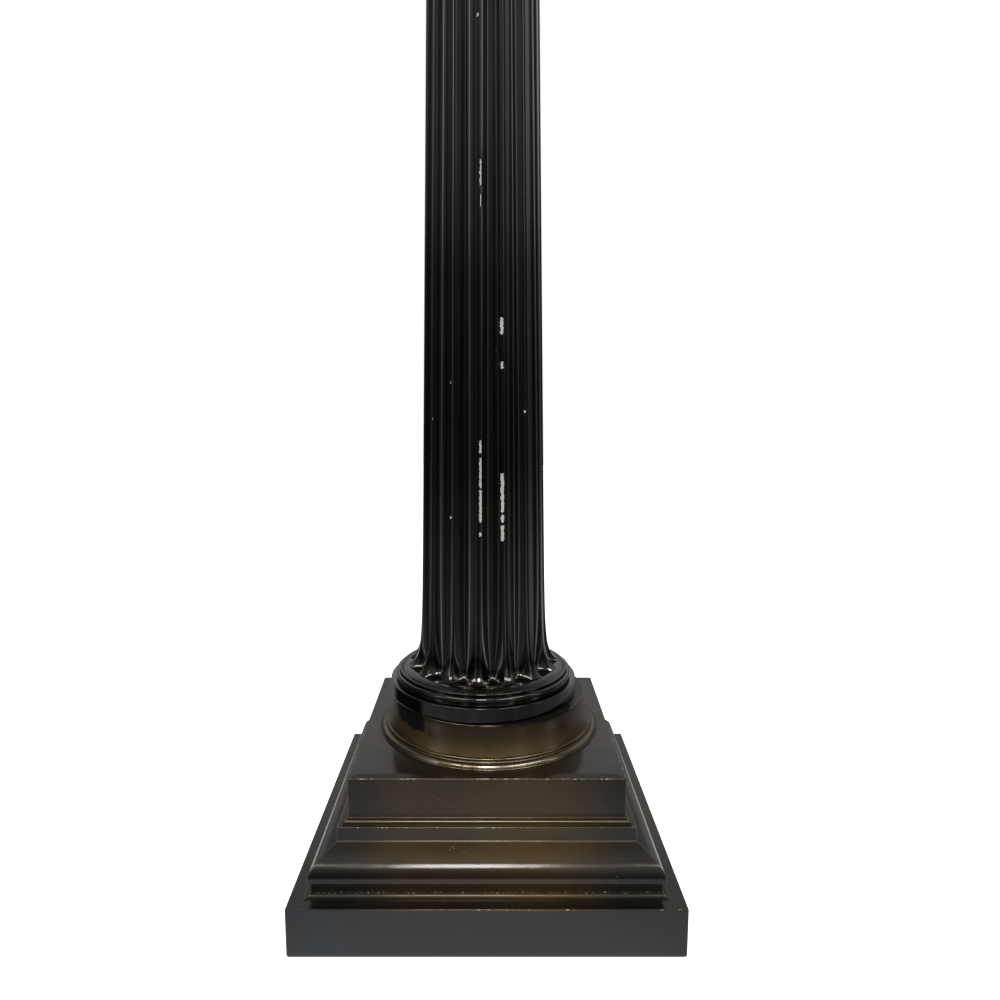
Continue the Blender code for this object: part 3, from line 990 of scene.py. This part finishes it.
@dataclass
class Collar(TurnedPiece):
    """Drum, roll, groove, lip and sloping shoulder."""

    drum_radius: float = 0.0845
    drum_height: float = 0.0131
    drum_swell: float = 0.0002
    drum_foot: float = 0.0016
    drum_drop: float = 0.0011
    drum_turn: Pair = (0.0, 62.0)
    roll: Pair = (0.0776, 0.0174)
    roll_radius: float = 0.0024
    roll_neck: float = 0.0778
    roll_neck_levels: Pair = (0.0006, 0.0019)
    lip: Pair = (0.0754, 0.0212)
    lip_radius: float = 0.0009
    lip_neck: float = 0.0750
    lip_neck_levels: Pair = (0.0197, 0.0204)
    shoulder_reach: float = 0.0691
    shoulder_swell: float = 0.0004
    shoulder_steps: int = 12
    arris: float = 0.0008

    def outline(self) -> Outline:
        """Return the collar's outline."""
        outline = Outline(0.0003)
        outline.point(self.drum_radius - 0.0026, 0.0)
        foot = (self.drum_radius - self.drum_foot, self.drum_foot)
        outline.arc(foot, self.drum_foot, (-80.0, -4.0), 6)
        barrel = (self.drum_radius - self.drum_swell, self.drum_foot)
        outline.arc(barrel, (self.drum_swell, self.drum_height - self.drum_drop), self.drum_turn, 9)
        level = self.drum_height
        outline.crest(self.drum_radius - 0.5 * self.drum_swell, level, self.arris, 0.3)
        outline.run(self.roll_neck + 0.0002, level + 0.0002, 0.002)
        for rise in self.roll_neck_levels:
            outline.point(self.roll_neck, level + rise)
        outline.arc(self.roll, self.roll_radius, (-52.0, 115.0), 18)
        for height in self.lip_neck_levels:
            outline.point(self.lip_neck, height)
        outline.arc(self.lip, self.lip_radius, (-70.0, 110.0), 9, 0.2)
        self.draw_shoulder(outline, self.high.z - self.low.z)
        return outline

    def draw_shoulder(self, outline: Outline, top: float) -> None:
        """Draw the sloping shoulder, swelling a little, and close it under the shaft.

        Args:
            outline: The outline under construction; its last ring is the lip's end.
            top: Height of the shoulder's top.
        """
        start = outline.stations[-1]
        for index in range(1, self.shoulder_steps + 1):
            share = index / self.shoulder_steps
            swell = self.shoulder_swell * math.sin(math.pi * share)
            reach = start.reach + (self.shoulder_reach - start.reach) * share
            outline.point(reach + swell, start.level + (top - start.level) * share + swell)
        outline.point(self.shoulder_reach - 0.002, top)


@dataclass(frozen=True)
class Chip:
    """A spot where the lacquer has come off a ridge of the shaft."""

    ridge: int
    place: Place
    low: float
    high: float
    width: float


@dataclass
class Shaft(Piece):
    """Fluted shaft with narrow ridges between the flutes and a foot that flares out."""

    radius: float = 0.0568
    taper: float = 0.0124
    foot_flare: float = 0.0117
    flare_reach: float = 0.0200
    flare_power: float = 2.45
    head_flare: float = 0.0030
    head_flare_height: float = 0.0120
    head_ring_height: float = 0.0040
    flutes: int = 15
    flute_depth: float = 0.0036
    flute_flare: float = 0.0062
    flute_flare_power: float = 8.0
    flute_end: float = 0.0140
    flute_roundness: float = 0.8
    ridge_width: float = 0.0046
    foot_ridge_width: float = 0.0088
    arris_drop: float = 0.00016
    arris_width: float = 0.0005
    front_ridge: float = -94.0
    chip_depth: float = 0.00030
    chip_step: float = 0.0011
    chip_margin: float = 0.001
    chip_fade: float = 0.0008
    chip_swell: float = 1.45
    chip_raggedness: float = 0.35
    least_step: float = 0.0003
    across: tuple[float, ...] = (0.0, 0.02, 0.05, 0.10, 0.18, 0.28, 0.39, 0.5, 0.61, 0.72, 0.82, 0.90, 0.95, 0.98, 1.0)
    chips: tuple[Chip, ...] = (
        Chip(0, Place.RIGHT, 0.3781, 0.3879, 0.0008),
        Chip(0, Place.RIGHT, 0.3492, 0.3735, 0.0007),
        Chip(0, Place.RIGHT, 0.3210, 0.3468, 0.0010),
        Chip(0, Place.RIGHT, 0.3089, 0.3115, 0.0008),
        Chip(1, Place.LEFT, 0.3286, 0.3602, 0.0012),
        Chip(1, Place.LEFT, 0.3201, 0.3263, 0.0011),
        Chip(1, Place.LEFT, 0.3043, 0.3169, 0.0012),
        Chip(1, Place.LEFT, 0.4746, 0.4871, 0.0010),
        Chip(1, Place.LEFT, 0.4469, 0.4517, 0.0008),
        Chip(0, Place.RIGHT, 0.5897, 0.6085, 0.0006),
        Chip(0, Place.RIGHT, 0.5737, 0.5827, 0.0004),
        Chip(-1, Place.LEFT, 0.4350, 0.4364, 0.0006),
        Chip(-1, Place.LEFT, 0.3226, 0.3241, 0.0006),
        Chip(2, Place.LEFT, 0.4107, 0.4122, 0.0006),
        Chip(-2, Place.LEFT, 0.4042, 0.4058, 0.0006),
        Chip(0, Place.MIDDLE, 0.7146, 0.7164, 0.0006),
        Chip(5, Place.LEFT, 0.4280, 0.4410, 0.0007),
        Chip(7, Place.RIGHT, 0.3360, 0.3520, 0.0008),
        Chip(9, Place.LEFT, 0.5200, 0.5320, 0.0006),
    )

    def share(self, height: float, power: float) -> float:
        """Return the share of the foot's flare that is left at a height above the foot."""
        return (1 + height / self.flare_reach) ** -power

    def ridge_radius(self, height: float, length: float) -> float:
        """Return the radius over the ridges.

        Args:
            height: Height above the shaft's foot.
            length: Length of the shaft.

        Returns:
            The radius.
        """
        radius = self.radius - self.taper * height / length
        radius += self.foot_flare * self.share(height, self.flare_power)
        below_ring = length - self.head_ring_height - height
        if below_ring < self.head_flare_height:
            radius += self.head_flare * (1 - max(below_ring, 0.0) / self.head_flare_height) ** 2
        return radius

    def depth(self, height: float, length: float) -> float:
        """Return the depth of a flute's middle.

        Args:
            height: Height above the shaft's foot.
            length: Length of the shaft.

        Returns:
            The depth below the ridges.
        """
        depth = self.flute_depth + self.foot_flare * self.share(height, self.flare_power)
        depth -= self.flute_flare * self.share(height, self.flute_flare_power)
        left = (length - self.head_ring_height - self.head_flare_height - height) / self.flute_end
        if left < 1:
            depth *= math.sqrt(max(0.0, 1 - (1 - max(left, 0.0)) ** 2))
        return depth

    def section(self, height: float, length: float) -> list[tuple[float, float, int, float]]:
        """Return the shaft's cross-section.

        Args:
            height: Height above the shaft's foot.
            length: Length of the shaft.

        Returns:
            For each point its angle, its radius, the number of the ridge beside it and its place across that ridge
            in metres from the ridge's middle.
        """
        ridge = self.ridge_radius(height, length)
        depth = self.depth(height, length)
        pitch = 2 * math.pi / self.flutes
        width = self.ridge_width + (self.foot_ridge_width - self.ridge_width) * self.share(height, self.flare_power)
        half = 0.5 * width / self.radius
        inner = half - self.arris_width / self.radius
        points = []
        for number in range(self.flutes):
            middle = math.radians(self.front_ridge) + number * pitch
            points.append((middle - inner, ridge, number, -inner * ridge))
            points.append((middle, ridge, number, 0.0))
            points.append((middle + inner, ridge, number, inner * ridge))
            for share in self.across:
                turn = half + (pitch - 2 * half) * share
                bend = math.sin(math.pi * share) ** self.flute_roundness
                radius = ridge - self.arris_drop - (depth - self.arris_drop) * bend
                nearest = number if share < 0.5 else number + 1
                place = turn * ridge if share < 0.5 else (turn - pitch) * ridge
                points.append((middle + turn, radius, nearest % self.flutes, place))
        return points

    def heights(self, length: float) -> list[float]:
        """Return the heights of the rings: close together at the foot, at the head and over the chips."""
        heights = {self.flare_reach * 4 * (index / 30) ** 1.8 for index in range(31)}
        flute_top = length - self.head_ring_height - self.head_flare_height
        heights |= {flute_top - self.flute_end * (index / 10) ** 2 for index in range(11)}
        heights |= {flute_top + self.head_flare_height * index / 8 for index in range(9)}
        heights |= {0.09 + (flute_top - 0.11) * index / 60 for index in range(61)}
        heights |= {length - self.head_ring_height + 0.0006, length}
        for chip in self.chips:
            low, high = chip.low - self.low.z - self.chip_margin, chip.high - self.low.z + self.chip_margin
            count = max(2, round((high - low) / self.chip_step))
            heights |= {low + (high - low) * index / count for index in range(count + 1)}
        rising = sorted(heights)
        return [one for one, after in zip(rising, [*rising[1:], math.inf]) if after - one > self.least_step]

    def chipped(self, number: int, place: float, level: float) -> float:
        """Return how far a point has lost its lacquer.

        Args:
            number: Number of the ridge beside the point.
            place: Distance across from the middle of that ridge.
            level: Height of the point above the ground.

        Returns:
            A value from 0 to 1.
        """
        most = 0.0
        for chip in self.chips:
            near = chip.low - 2 * self.chip_margin < level < chip.high + 2 * self.chip_margin
            if chip.ridge % self.flutes != number or not near:
                continue
            across = abs(place - 0.5 * self.ridge_width * chip.place.value) / chip.width
            half = 0.5 * (chip.high - chip.low)
            along = abs(level - chip.low - half) - half
            ragged = self.chip_raggedness * noise.noise(Vector((place * 900, number * 7.3, level * 420)))
            most = max(most, min(1.0, self.chip_swell - across + ragged - max(along / self.chip_fade, 0.0)))
        return most

    def mesh(self) -> bpy.types.Mesh:
        """Return the shaft's mesh."""
        length = self.high.z - self.low.z
        rings, chips = [], []
        for height in self.heights(length):
            ring = []
            level = self.low.z + height
            for angle, radius, number, place in self.section(height, length):
                chip = self.chipped(number, place, level)
                radius -= self.chip_depth * chip
                ring.append(Vector((self.centre.x + radius * math.cos(angle), radius * math.sin(angle), level)))
                chips.append(chip)
            rings.append(ring)
        return loft(self.node, rings, {Wear.CHIP: chips})


@dataclass
class Capital(Piece):
    """Ionic capital: neck bead, echinus, cushion, scrolls with volutes, and abacus."""

    neck_radius: float = 0.0480
    bead_radius: float = 0.0025
    echinus_height: float = 0.0170
    echinus_projection: float = 0.0085
    scroll_radius: float = 0.0210
    scroll_clearance: float = 0.0015
    scroll_waist: float = 0.0055
    eye_offset: float = 0.0599
    face_offset: float = 0.0534
    belt_width: float = 0.0120
    belt_rise: float = 0.0016
    cushion_inset: float = 0.0016
    volute_turns: float = 2.5
    rib_width: float = 0.0024
    rib_height: float = 0.0013
    eye_radius: float = 0.0036
    abacus_height: float = 0.0110
    abacus_half: float = 0.0629
    abacus_bedding: float = 0.0010
    arris: float = 0.0006
    sides: int = 128
    scroll_sides: int = 56
    rib_steps: int = 26

    def mesh(self) -> bpy.types.Mesh:
        """Return the capital's parts, joined into one closed mesh."""
        axis = Vector((self.centre.x, self.centre.y, 0.0))
        level = self.low.z
        scroll_level = level + self.scroll_clearance + self.scroll_radius
        top = scroll_level + self.scroll_radius
        parts = [self.cushion(axis, level + self.echinus_height, top), self.abacus(axis, top - self.abacus_bedding)]
        for side in (-1, 1):
            eye = Vector((axis.x + side * self.eye_offset, axis.y, scroll_level))
            parts.append(self.scroll(eye))
            parts += [self.volute(eye, side, face) for face in (-1, 1)]
        return self.join(self.echinus(axis, level), parts)

    def echinus(self, axis: Vector, level: float) -> bpy.types.Mesh:
        """Return the neck bead and the echinus above it.

        Args:
            axis: Point on the column's axis.
            level: Height of the capital's foot.

        Returns:
            The closed mesh.
        """
        outline = Outline(0.0002)
        outline.point(self.neck_radius, 0.0)
        bead = (self.neck_radius, self.bead_radius)
        outline.arc(bead, self.bead_radius, (-84.0, 88.0), 12)
        foot = 2 * self.bead_radius
        outline.point(self.neck_radius - self.arris, foot + self.arris)
        rise = self.echinus_height - 2 * self.arris
        swell = (self.neck_radius, foot + self.echinus_height)
        outline.arc(swell, (self.echinus_projection, rise), (-85.0, 0.0), 14)
        outline.point(self.neck_radius + self.echinus_projection - 0.001, foot + self.echinus_height + 0.002)
        rings = [round_ring(one.reach, level + one.level, axis, self.sides) for one in outline.stations]
        return loft("echinus", rings, {})

    def cushion(self, axis: Vector, low: float, high: float) -> bpy.types.Mesh:
        """Return the block between the scrolls.

        Args:
            axis: Point on the column's axis.
            low: Height of its underside.
            high: Height of its top.

        Returns:
            The closed mesh.
        """
        depth = self.face_offset - self.cushion_inset
        corners = ((-1, -1), (1, -1), (1, 1), (-1, 1))
        rings = []
        for level in (low + 2 * self.bead_radius, high):
            rings.append([Vector((axis.x + x * self.eye_offset, axis.y + y * depth, level)) for x, y in corners])
        return loft("cushion", rings, {})

    def abacus(self, axis: Vector, level: float) -> bpy.types.Mesh:
        """Return the square slab on top, with a small hollow and a fillet.

        Args:
            axis: Point on the column's axis.
            level: Height of its underside.

        Returns:
            The closed mesh.
        """
        setback = 0.5 * self.abacus_height
        top = self.high.z
        outline = Outline(0.0004)
        outline.point(self.abacus_half - setback, level)
        hollow = (self.abacus_half, level + self.arris)
        outline.arc(hollow, (setback, 0.55 * self.abacus_height), (180.0, 100.0), 10)
        outline.point(self.abacus_half, level + 0.6 * self.abacus_height + self.arris)
        outline.run(self.abacus_half, top - self.arris, 0.002)
        outline.crest(self.abacus_half, top, self.arris, 0.0)
        outline.run(self.abacus_half - 0.004, top, 0.002)
        rings = [square_ring(one.reach, one.level, axis, 0.0008, 8)[0] for one in outline.stations]
        return loft("abacus", rings, {})

    def scroll(self, eye: Vector) -> bpy.types.Mesh:
        """Return one scroll from back to front: waisted, with a belt in the middle and an eye on each face.

        Args:
            eye: Middle of the scroll.

        Returns:
            The closed mesh.
        """
        waist = self.scroll_radius - self.scroll_waist
        belt = 0.5 * self.belt_width
        rim = self.face_offset - 3 * self.rib_width
        half = [(waist + self.belt_rise, belt - 2 * self.arris), (waist + self.belt_rise - 0.0004, belt - self.arris)]
        for index in range(13):
            share = index / 12
            swell = self.scroll_waist * (1 - math.cos(0.5 * math.pi * share))
            half.append((waist + swell, belt + (rim - belt) * share))
        half.append((self.scroll_radius, self.face_offset - self.arris))
        half.append((self.scroll_radius - self.arris, self.face_offset))
        half.append((self.eye_radius, self.face_offset))
        half.append((self.eye_radius, self.face_offset + self.rib_height))
        half.append((self.eye_radius - self.arris, self.face_offset + self.rib_height + self.arris))
        stations = [(radius, -reach) for radius, reach in reversed(half)] + half
        origin = Vector((0.0, 0.0, 0.0))
        mesh = loft("scroll", [round_ring(radius, reach, origin, self.scroll_sides) for radius, reach in stations], {})
        mesh.transform(Matrix.Translation(eye) @ Matrix.Rotation(math.radians(90.0), 4, "X"))
        return mesh

    def volute(self, eye: Vector, side: int, face: int) -> bpy.types.Mesh:
        """Return one spiral rib, sunk a little into the scroll's face.

        Args:
            eye: Middle of the scroll.
            side: -1 for the left scroll, 1 for the right one.
            face: -1 for the front face, 1 for the back one.

        Returns:
            The closed mesh.
        """
        outer = self.scroll_radius - 0.5 * self.rib_width - self.arris
        count = round(self.volute_turns * self.rib_steps)
        rings = []
        for index in range(count + 1):
            share = index / count
            radius = outer * (self.eye_radius / outer) ** share
            angle = 0.5 * math.pi - 2 * math.pi * self.volute_turns * share
            half = 0.5 * self.rib_width * (1 - 0.4 * share)
            shoulder = -0.6 * self.rib_height
            section = (
                (-half, self.arris), (half, self.arris), (half, shoulder), (0.5 * half, -self.rib_height),
                (-0.5 * half, -self.rib_height), (-half, shoulder),
            )
            ring = []
            for reach, y in section:
                x = side * (radius + reach) * math.cos(angle)
                ring.append(Vector((x, -face * y if face > 0 else y, (radius + reach) * math.sin(angle))))
            rings.append(ring if side * -face > 0 else ring[::-1])
        mesh = loft("volute", rings, {})
        mesh.transform(Matrix.Translation(eye + Vector((0.0, face * self.face_offset, 0.0))))
        return mesh

    def join(self, base: bpy.types.Mesh, parts: list[bpy.types.Mesh]) -> bpy.types.Mesh:
        """Unite closed meshes.

        Args:
            base: The first mesh.
            parts: Meshes that overlap it or one another.

        Returns:
            One closed mesh.
        """
        group = bpy.data.collections.new("capital_parts")
        body = bpy.data.objects.new("capital_body", base)
        bpy.context.scene.collection.objects.link(body)
        helpers = [bpy.data.objects.new(part.name, part) for part in parts]
        for helper in helpers:
            group.objects.link(helper)
        bpy.context.scene.collection.children.link(group)
        modifier = body.modifiers.new("join", "BOOLEAN")
        modifier.operation = "UNION"
        modifier.solver = "EXACT"
        modifier.operand_type = "COLLECTION"
        modifier.collection = group
        bpy.context.view_layer.update()
        graph = bpy.context.evaluated_depsgraph_get()
        mesh = bpy.data.meshes.new_from_object(body.evaluated_get(graph))
        for helper in [body, *helpers]:
            bpy.data.objects.remove(helper)
        bpy.data.collections.remove(group)
        mesh.shade_smooth()
        mesh.set_sharp_from_angle(angle=CARVED_CREASE_ANGLE)
        return mesh


# Studio


@dataclass(frozen=True)
class Lamp:
    """A soft panel of light on a sphere round the column."""

    name: str
    azimuth: float
    elevation: float
    width: float
    height: float
    power: float
    colour: Colour = (1.0, 0.985, 0.96)


@dataclass
class Surroundings:
    """What the column's gloss mirrors: a dim studio, darker round the camera, with paler stretches beside it."""

    by_azimuth: Profile = (
        (0.000, 0.17), (0.120, 0.17), (0.160, 0.05), (0.250, 0.04), (0.300, 0.16), (0.325, 0.16), (0.335, 0.95),
        (0.345, 0.95), (0.355, 0.16), (0.400, 0.04), (0.425, 0.04), (0.432, 0.30), (0.440, 0.30), (0.447, 0.05),
        (0.500, 0.05), (0.520, 0.13), (0.590, 0.13), (0.598, 0.65), (0.606, 0.65), (0.614, 0.05), (0.680, 0.05),
        (0.690, 0.85), (0.700, 0.85), (0.710, 0.05), (0.760, 0.05), (0.800, 0.16), (0.860, 0.17), (1.000, 0.17),
    )
    by_azimuth_near: Profile = (
        (0.000, 0.06), (0.130, 0.06), (0.160, 0.00), (0.294, 0.00), (0.306, 0.15), (0.500, 0.15), (0.560, 0.10),
        (0.720, 0.10), (0.820, 0.08), (1.000, 0.06),
    )
    by_height: Profile = (
        (0.00, 0.14), (0.17, 0.25), (0.26, 0.52), (0.36, 0.74), (0.46, 0.86), (0.62, 0.76), (0.80, 0.48),
        (0.92, 0.24), (1.00, 0.14),
    )
    by_reach: Profile = (
        (0.000, 1.00), (0.048, 0.96), (0.062, 0.76), (0.078, 0.62), (0.110, 0.46), (0.220, 0.44), (0.340, 0.32),
        (0.600, 0.20), (1.000, 0.14),
    )
    azimuth_gain: float = 5.0
    floor_reach: float = 4.0
    white_reach: Pair = (0.28, 0.40)
    near_reach: Pair = (0.50, 0.75)
    overhead: Pair = (0.55, 0.90)

    def azimuth_share(
        self, nodes: Nodes, vector: dict[str, bpy.types.NodeSocket], stops: Profile
    ) -> bpy.types.NodeSocket:
        """Return the brightness by azimuth.

        Args:
            nodes: The tree under construction.
            vector: Parts of a direction or place, seen from the column.
            stops: Brightness from the back over the left side, the front and the right side to the back again.

        Returns:
            A factor on the brightness by height or reach.
        """
        azimuth = nodes.combine(Operation.TURN, vector["X"], nodes.times(vector["Y"], -1.0))
        place = nodes.add(nodes.times(azimuth, 0.5 / math.pi), 0.5)
        return nodes.times(nodes.profile(place, stops), self.azimuth_gain)

    def between(
        self, nodes: Nodes, share: bpy.types.NodeSocket, first: object, second: object
    ) -> bpy.types.NodeSocket:
        """Return a value between two.

        Args:
            nodes: The tree under construction.
            share: Share of the second value.
            first: A value or a node's output.
            second: A value or a node's output.

        Returns:
            The mixed value.
        """
        return nodes.node("ShaderNodeMix", {"data_type": "FLOAT"}, {0: share, 2: first, 3: second}).outputs[0]

    def sky(self, nodes: Nodes) -> bpy.types.NodeSocket:
        """Return the brightness of the studio above the floor, by direction."""
        direction = nodes.tree.nodes.new("ShaderNodeTexCoord").outputs["Generated"]
        vector = nodes.split(direction)
        share = self.azimuth_share(nodes, vector, self.by_azimuth)
        share = self.between(nodes, nodes.step(vector["Z"], *self.overhead), share, 1.0)
        return nodes.times(share, nodes.profile(vector["Z"], self.by_height))

    def ground(self, nodes: Nodes, coordinates: bpy.types.NodeSocket) -> bpy.types.NodeSocket:
        """Return the brightness of the floor in reflections, by place.

        Args:
            nodes: The tree under construction.
            coordinates: Places on the floor.

        Returns:
            The brightness.
        """
        vector = nodes.split(coordinates)
        reach = nodes.node("ShaderNodeVectorMath", {"operation": "LENGTH"}, {0: coordinates}).outputs["Value"]
        near = self.azimuth_share(nodes, vector, self.by_azimuth_near)
        far = self.azimuth_share(nodes, vector, self.by_azimuth)
        share = self.between(nodes, nodes.step(reach, *self.near_reach), near, far)
        share = self.between(nodes, nodes.step(reach, *self.white_reach), 1.0, share)
        place = nodes.combine(Operation.DIVIDE, reach, self.floor_reach)
        return nodes.times(share, nodes.profile(place, self.by_reach))


@dataclass
class Studio:
    """Pale floor, soft lights, surroundings and camera."""

    aim: tuple[float, float, float] = (0.0, 0.0, 0.15)
    floor_half: float = 4.0
    floor_glow: float = 0.95
    floor_colour: Colour = (0.86, 0.86, 0.86)
    camera_place: tuple[float, float, float] = (0.0022, -0.6851, 0.4255)
    camera_tilt: float = 7.79
    camera_lens: float = 27.713
    camera_shift: float = 0.01035
    surroundings: Surroundings = field(default_factory=Surroundings)
    lamp_distance: float = 5.4
    lamps: tuple[Lamp, ...] = (
        Lamp("panel_left", -42.0, 52.0, 2.2, 1.1, 80.0),
        Lamp("panel_middle", -2.5, 52.5, 0.9, 1.5, 108.0),
        Lamp("panel_right", 44.0, 52.0, 2.5, 1.1, 86.0),
    )

    def build(self) -> None:
        """Build the whole studio."""
        self.make_floor()
        self.make_world()
        for lamp in self.lamps:
            self.make_lamp(lamp)
        self.make_camera()

    def make_floor(self) -> None:
        """Make the pale floor, which glows a little so that it stays white far away."""
        half = self.floor_half
        mesh = bpy.data.meshes.new("floor")
        corners = [(-half, -half, 0.0), (half, -half, 0.0), (half, half, 0.0), (-half, half, 0.0)]
        mesh.from_pydata(corners, [], [(0, 1, 2, 3)])
        values = {"Roughness": 0.9, "Specular IOR Level": 0.0, "Emission Strength": self.floor_glow}
        recipe = Recipe("pale_floor", values)
        recipe.shader.inputs["Base Color"].default_value = (*self.floor_colour, 1.0)
        recipe.shader.inputs["Emission Color"].default_value = (1.0, 1.0, 1.0, 1.0)
        strength = self.surroundings.ground(recipe, recipe.coordinates)
        mirrored = recipe.node("ShaderNodeEmission", {}, {"Strength": strength})
        self.show(recipe, mirrored.outputs[0], recipe.shader.outputs[0], recipe.tree.nodes["Material Output"])
        mesh.materials.append(recipe.material)
        floor = bpy.data.objects.new("floor", mesh)
        bpy.context.scene.collection.objects.link(floor)

    def make_world(self) -> None:
        """Make the surroundings: white behind the column to the eye, a dim studio in reflections."""
        world = bpy.data.worlds.new("studio")
        world.use_nodes = True
        bpy.context.scene.world = world
        nodes = Nodes(world.node_tree)
        nodes.tree.nodes.clear()
        mirrored = nodes.node("ShaderNodeBackground", {}, {"Strength": self.surroundings.sky(nodes)})
        seen = nodes.node("ShaderNodeBackground", {}, {"Color": (1.0, 1.0, 1.0, 1.0)})
        output = nodes.tree.nodes.new("ShaderNodeOutputWorld")
        self.show(nodes, mirrored.outputs[0], seen.outputs[0], output)

    def show(
        self, nodes: Nodes, mirrored: bpy.types.NodeSocket, seen: bpy.types.NodeSocket, output: bpy.types.Node
    ) -> None:
        """Show one shader to the camera and another one to reflections.

        Args:
            nodes: The tree under construction.
            mirrored: Shader for reflections and for the light that falls on the column.
            seen: Shader for the camera.
            output: The tree's output node.
        """
        rays = nodes.tree.nodes.new("ShaderNodeLightPath").outputs["Is Camera Ray"]
        mixed = nodes.node("ShaderNodeMixShader", {}, {0: rays, 1: mirrored, 2: seen})
        nodes.tree.links.new(mixed.outputs[0], output.inputs["Surface"])

    def make_lamp(self, lamp: Lamp) -> None:
        """Make one soft light that faces the column.

        Args:
            lamp: Its place, size and power.
        """
        data = bpy.data.lights.new(lamp.name, "AREA")
        data.shape = "RECTANGLE"
        data.size = lamp.width
        data.size_y = lamp.height
        data.energy = lamp.power
        data.color = lamp.colour
        azimuth, elevation = math.radians(lamp.azimuth), math.radians(lamp.elevation)
        level = math.cos(elevation)
        away = Vector((math.sin(azimuth) * level, -math.cos(azimuth) * level, math.sin(elevation)))
        light = bpy.data.objects.new(lamp.name, data)
        light.location = Vector(self.aim) + away * self.lamp_distance
        light.rotation_euler = away.to_track_quat("Z", "Y").to_euler()
        bpy.context.scene.collection.objects.link(light)

    def make_camera(self) -> None:
        """Make the camera at the photograph's viewing angle."""
        data = bpy.data.cameras.new("camera")
        data.lens = self.camera_lens
        data.sensor_width = SENSOR_WIDTH
        data.shift_x = self.camera_shift
        data.clip_start = 0.01
        camera = bpy.data.objects.new("camera", data)
        camera.location = self.camera_place
        camera.rotation_euler = (math.radians(90.0 - self.camera_tilt), 0.0, 0.0)
        bpy.context.scene.collection.objects.link(camera)
        bpy.context.scene.camera = camera


def main() -> None:
    """Build the studio and the column's pieces, from the ground up."""
    logging.basicConfig(level=logging.INFO, format="%(name)s: %(message)s")
    bpy.context.scene.view_settings.view_transform = "Standard"
    Studio().build()
    bronze = SatinBronze().make()
    dull_bronze = SatinBronze(
        name="dull_bronze",
        wax=0.55,
        wax_roughness=0.24,
        deep=(0.014, 0.0105, 0.0055),
        warm=(0.040, 0.025, 0.009),
        painted_dim_end=(0.009, 0.008, 0.007),
        metal=(0.150, 0.104, 0.044),
        # The left painted dark area is a painted dark reflection on the bell foot; the right one darkens a wavy band
        # along the rim's top.
        painted_dark_areas=(PaintedDarkArea(-0.0790, -0.0510, 0.1452, 0.003), PaintedDarkArea(0.0120, 0.0735, 0.1561, 0.0012)),
    ).make()
    lacquer = BlackLacquer().make()
    soft_lacquer = BlackLacquer(name="soft_lacquer", gloss_roughness=0.09).make()
    Plinth("plinth", Slot.BRONZE, bronze).build()
    BellFoot("bell_foot", Slot.BRONZE, dull_bronze).build()
    Collar("collar", Slot.LACQUER, soft_lacquer).build()
    Shaft("shaft", Slot.LACQUER, lacquer).build()
    Capital("capital", Slot.LACQUER, lacquer).build()


if __name__ == "__main__":
    main()
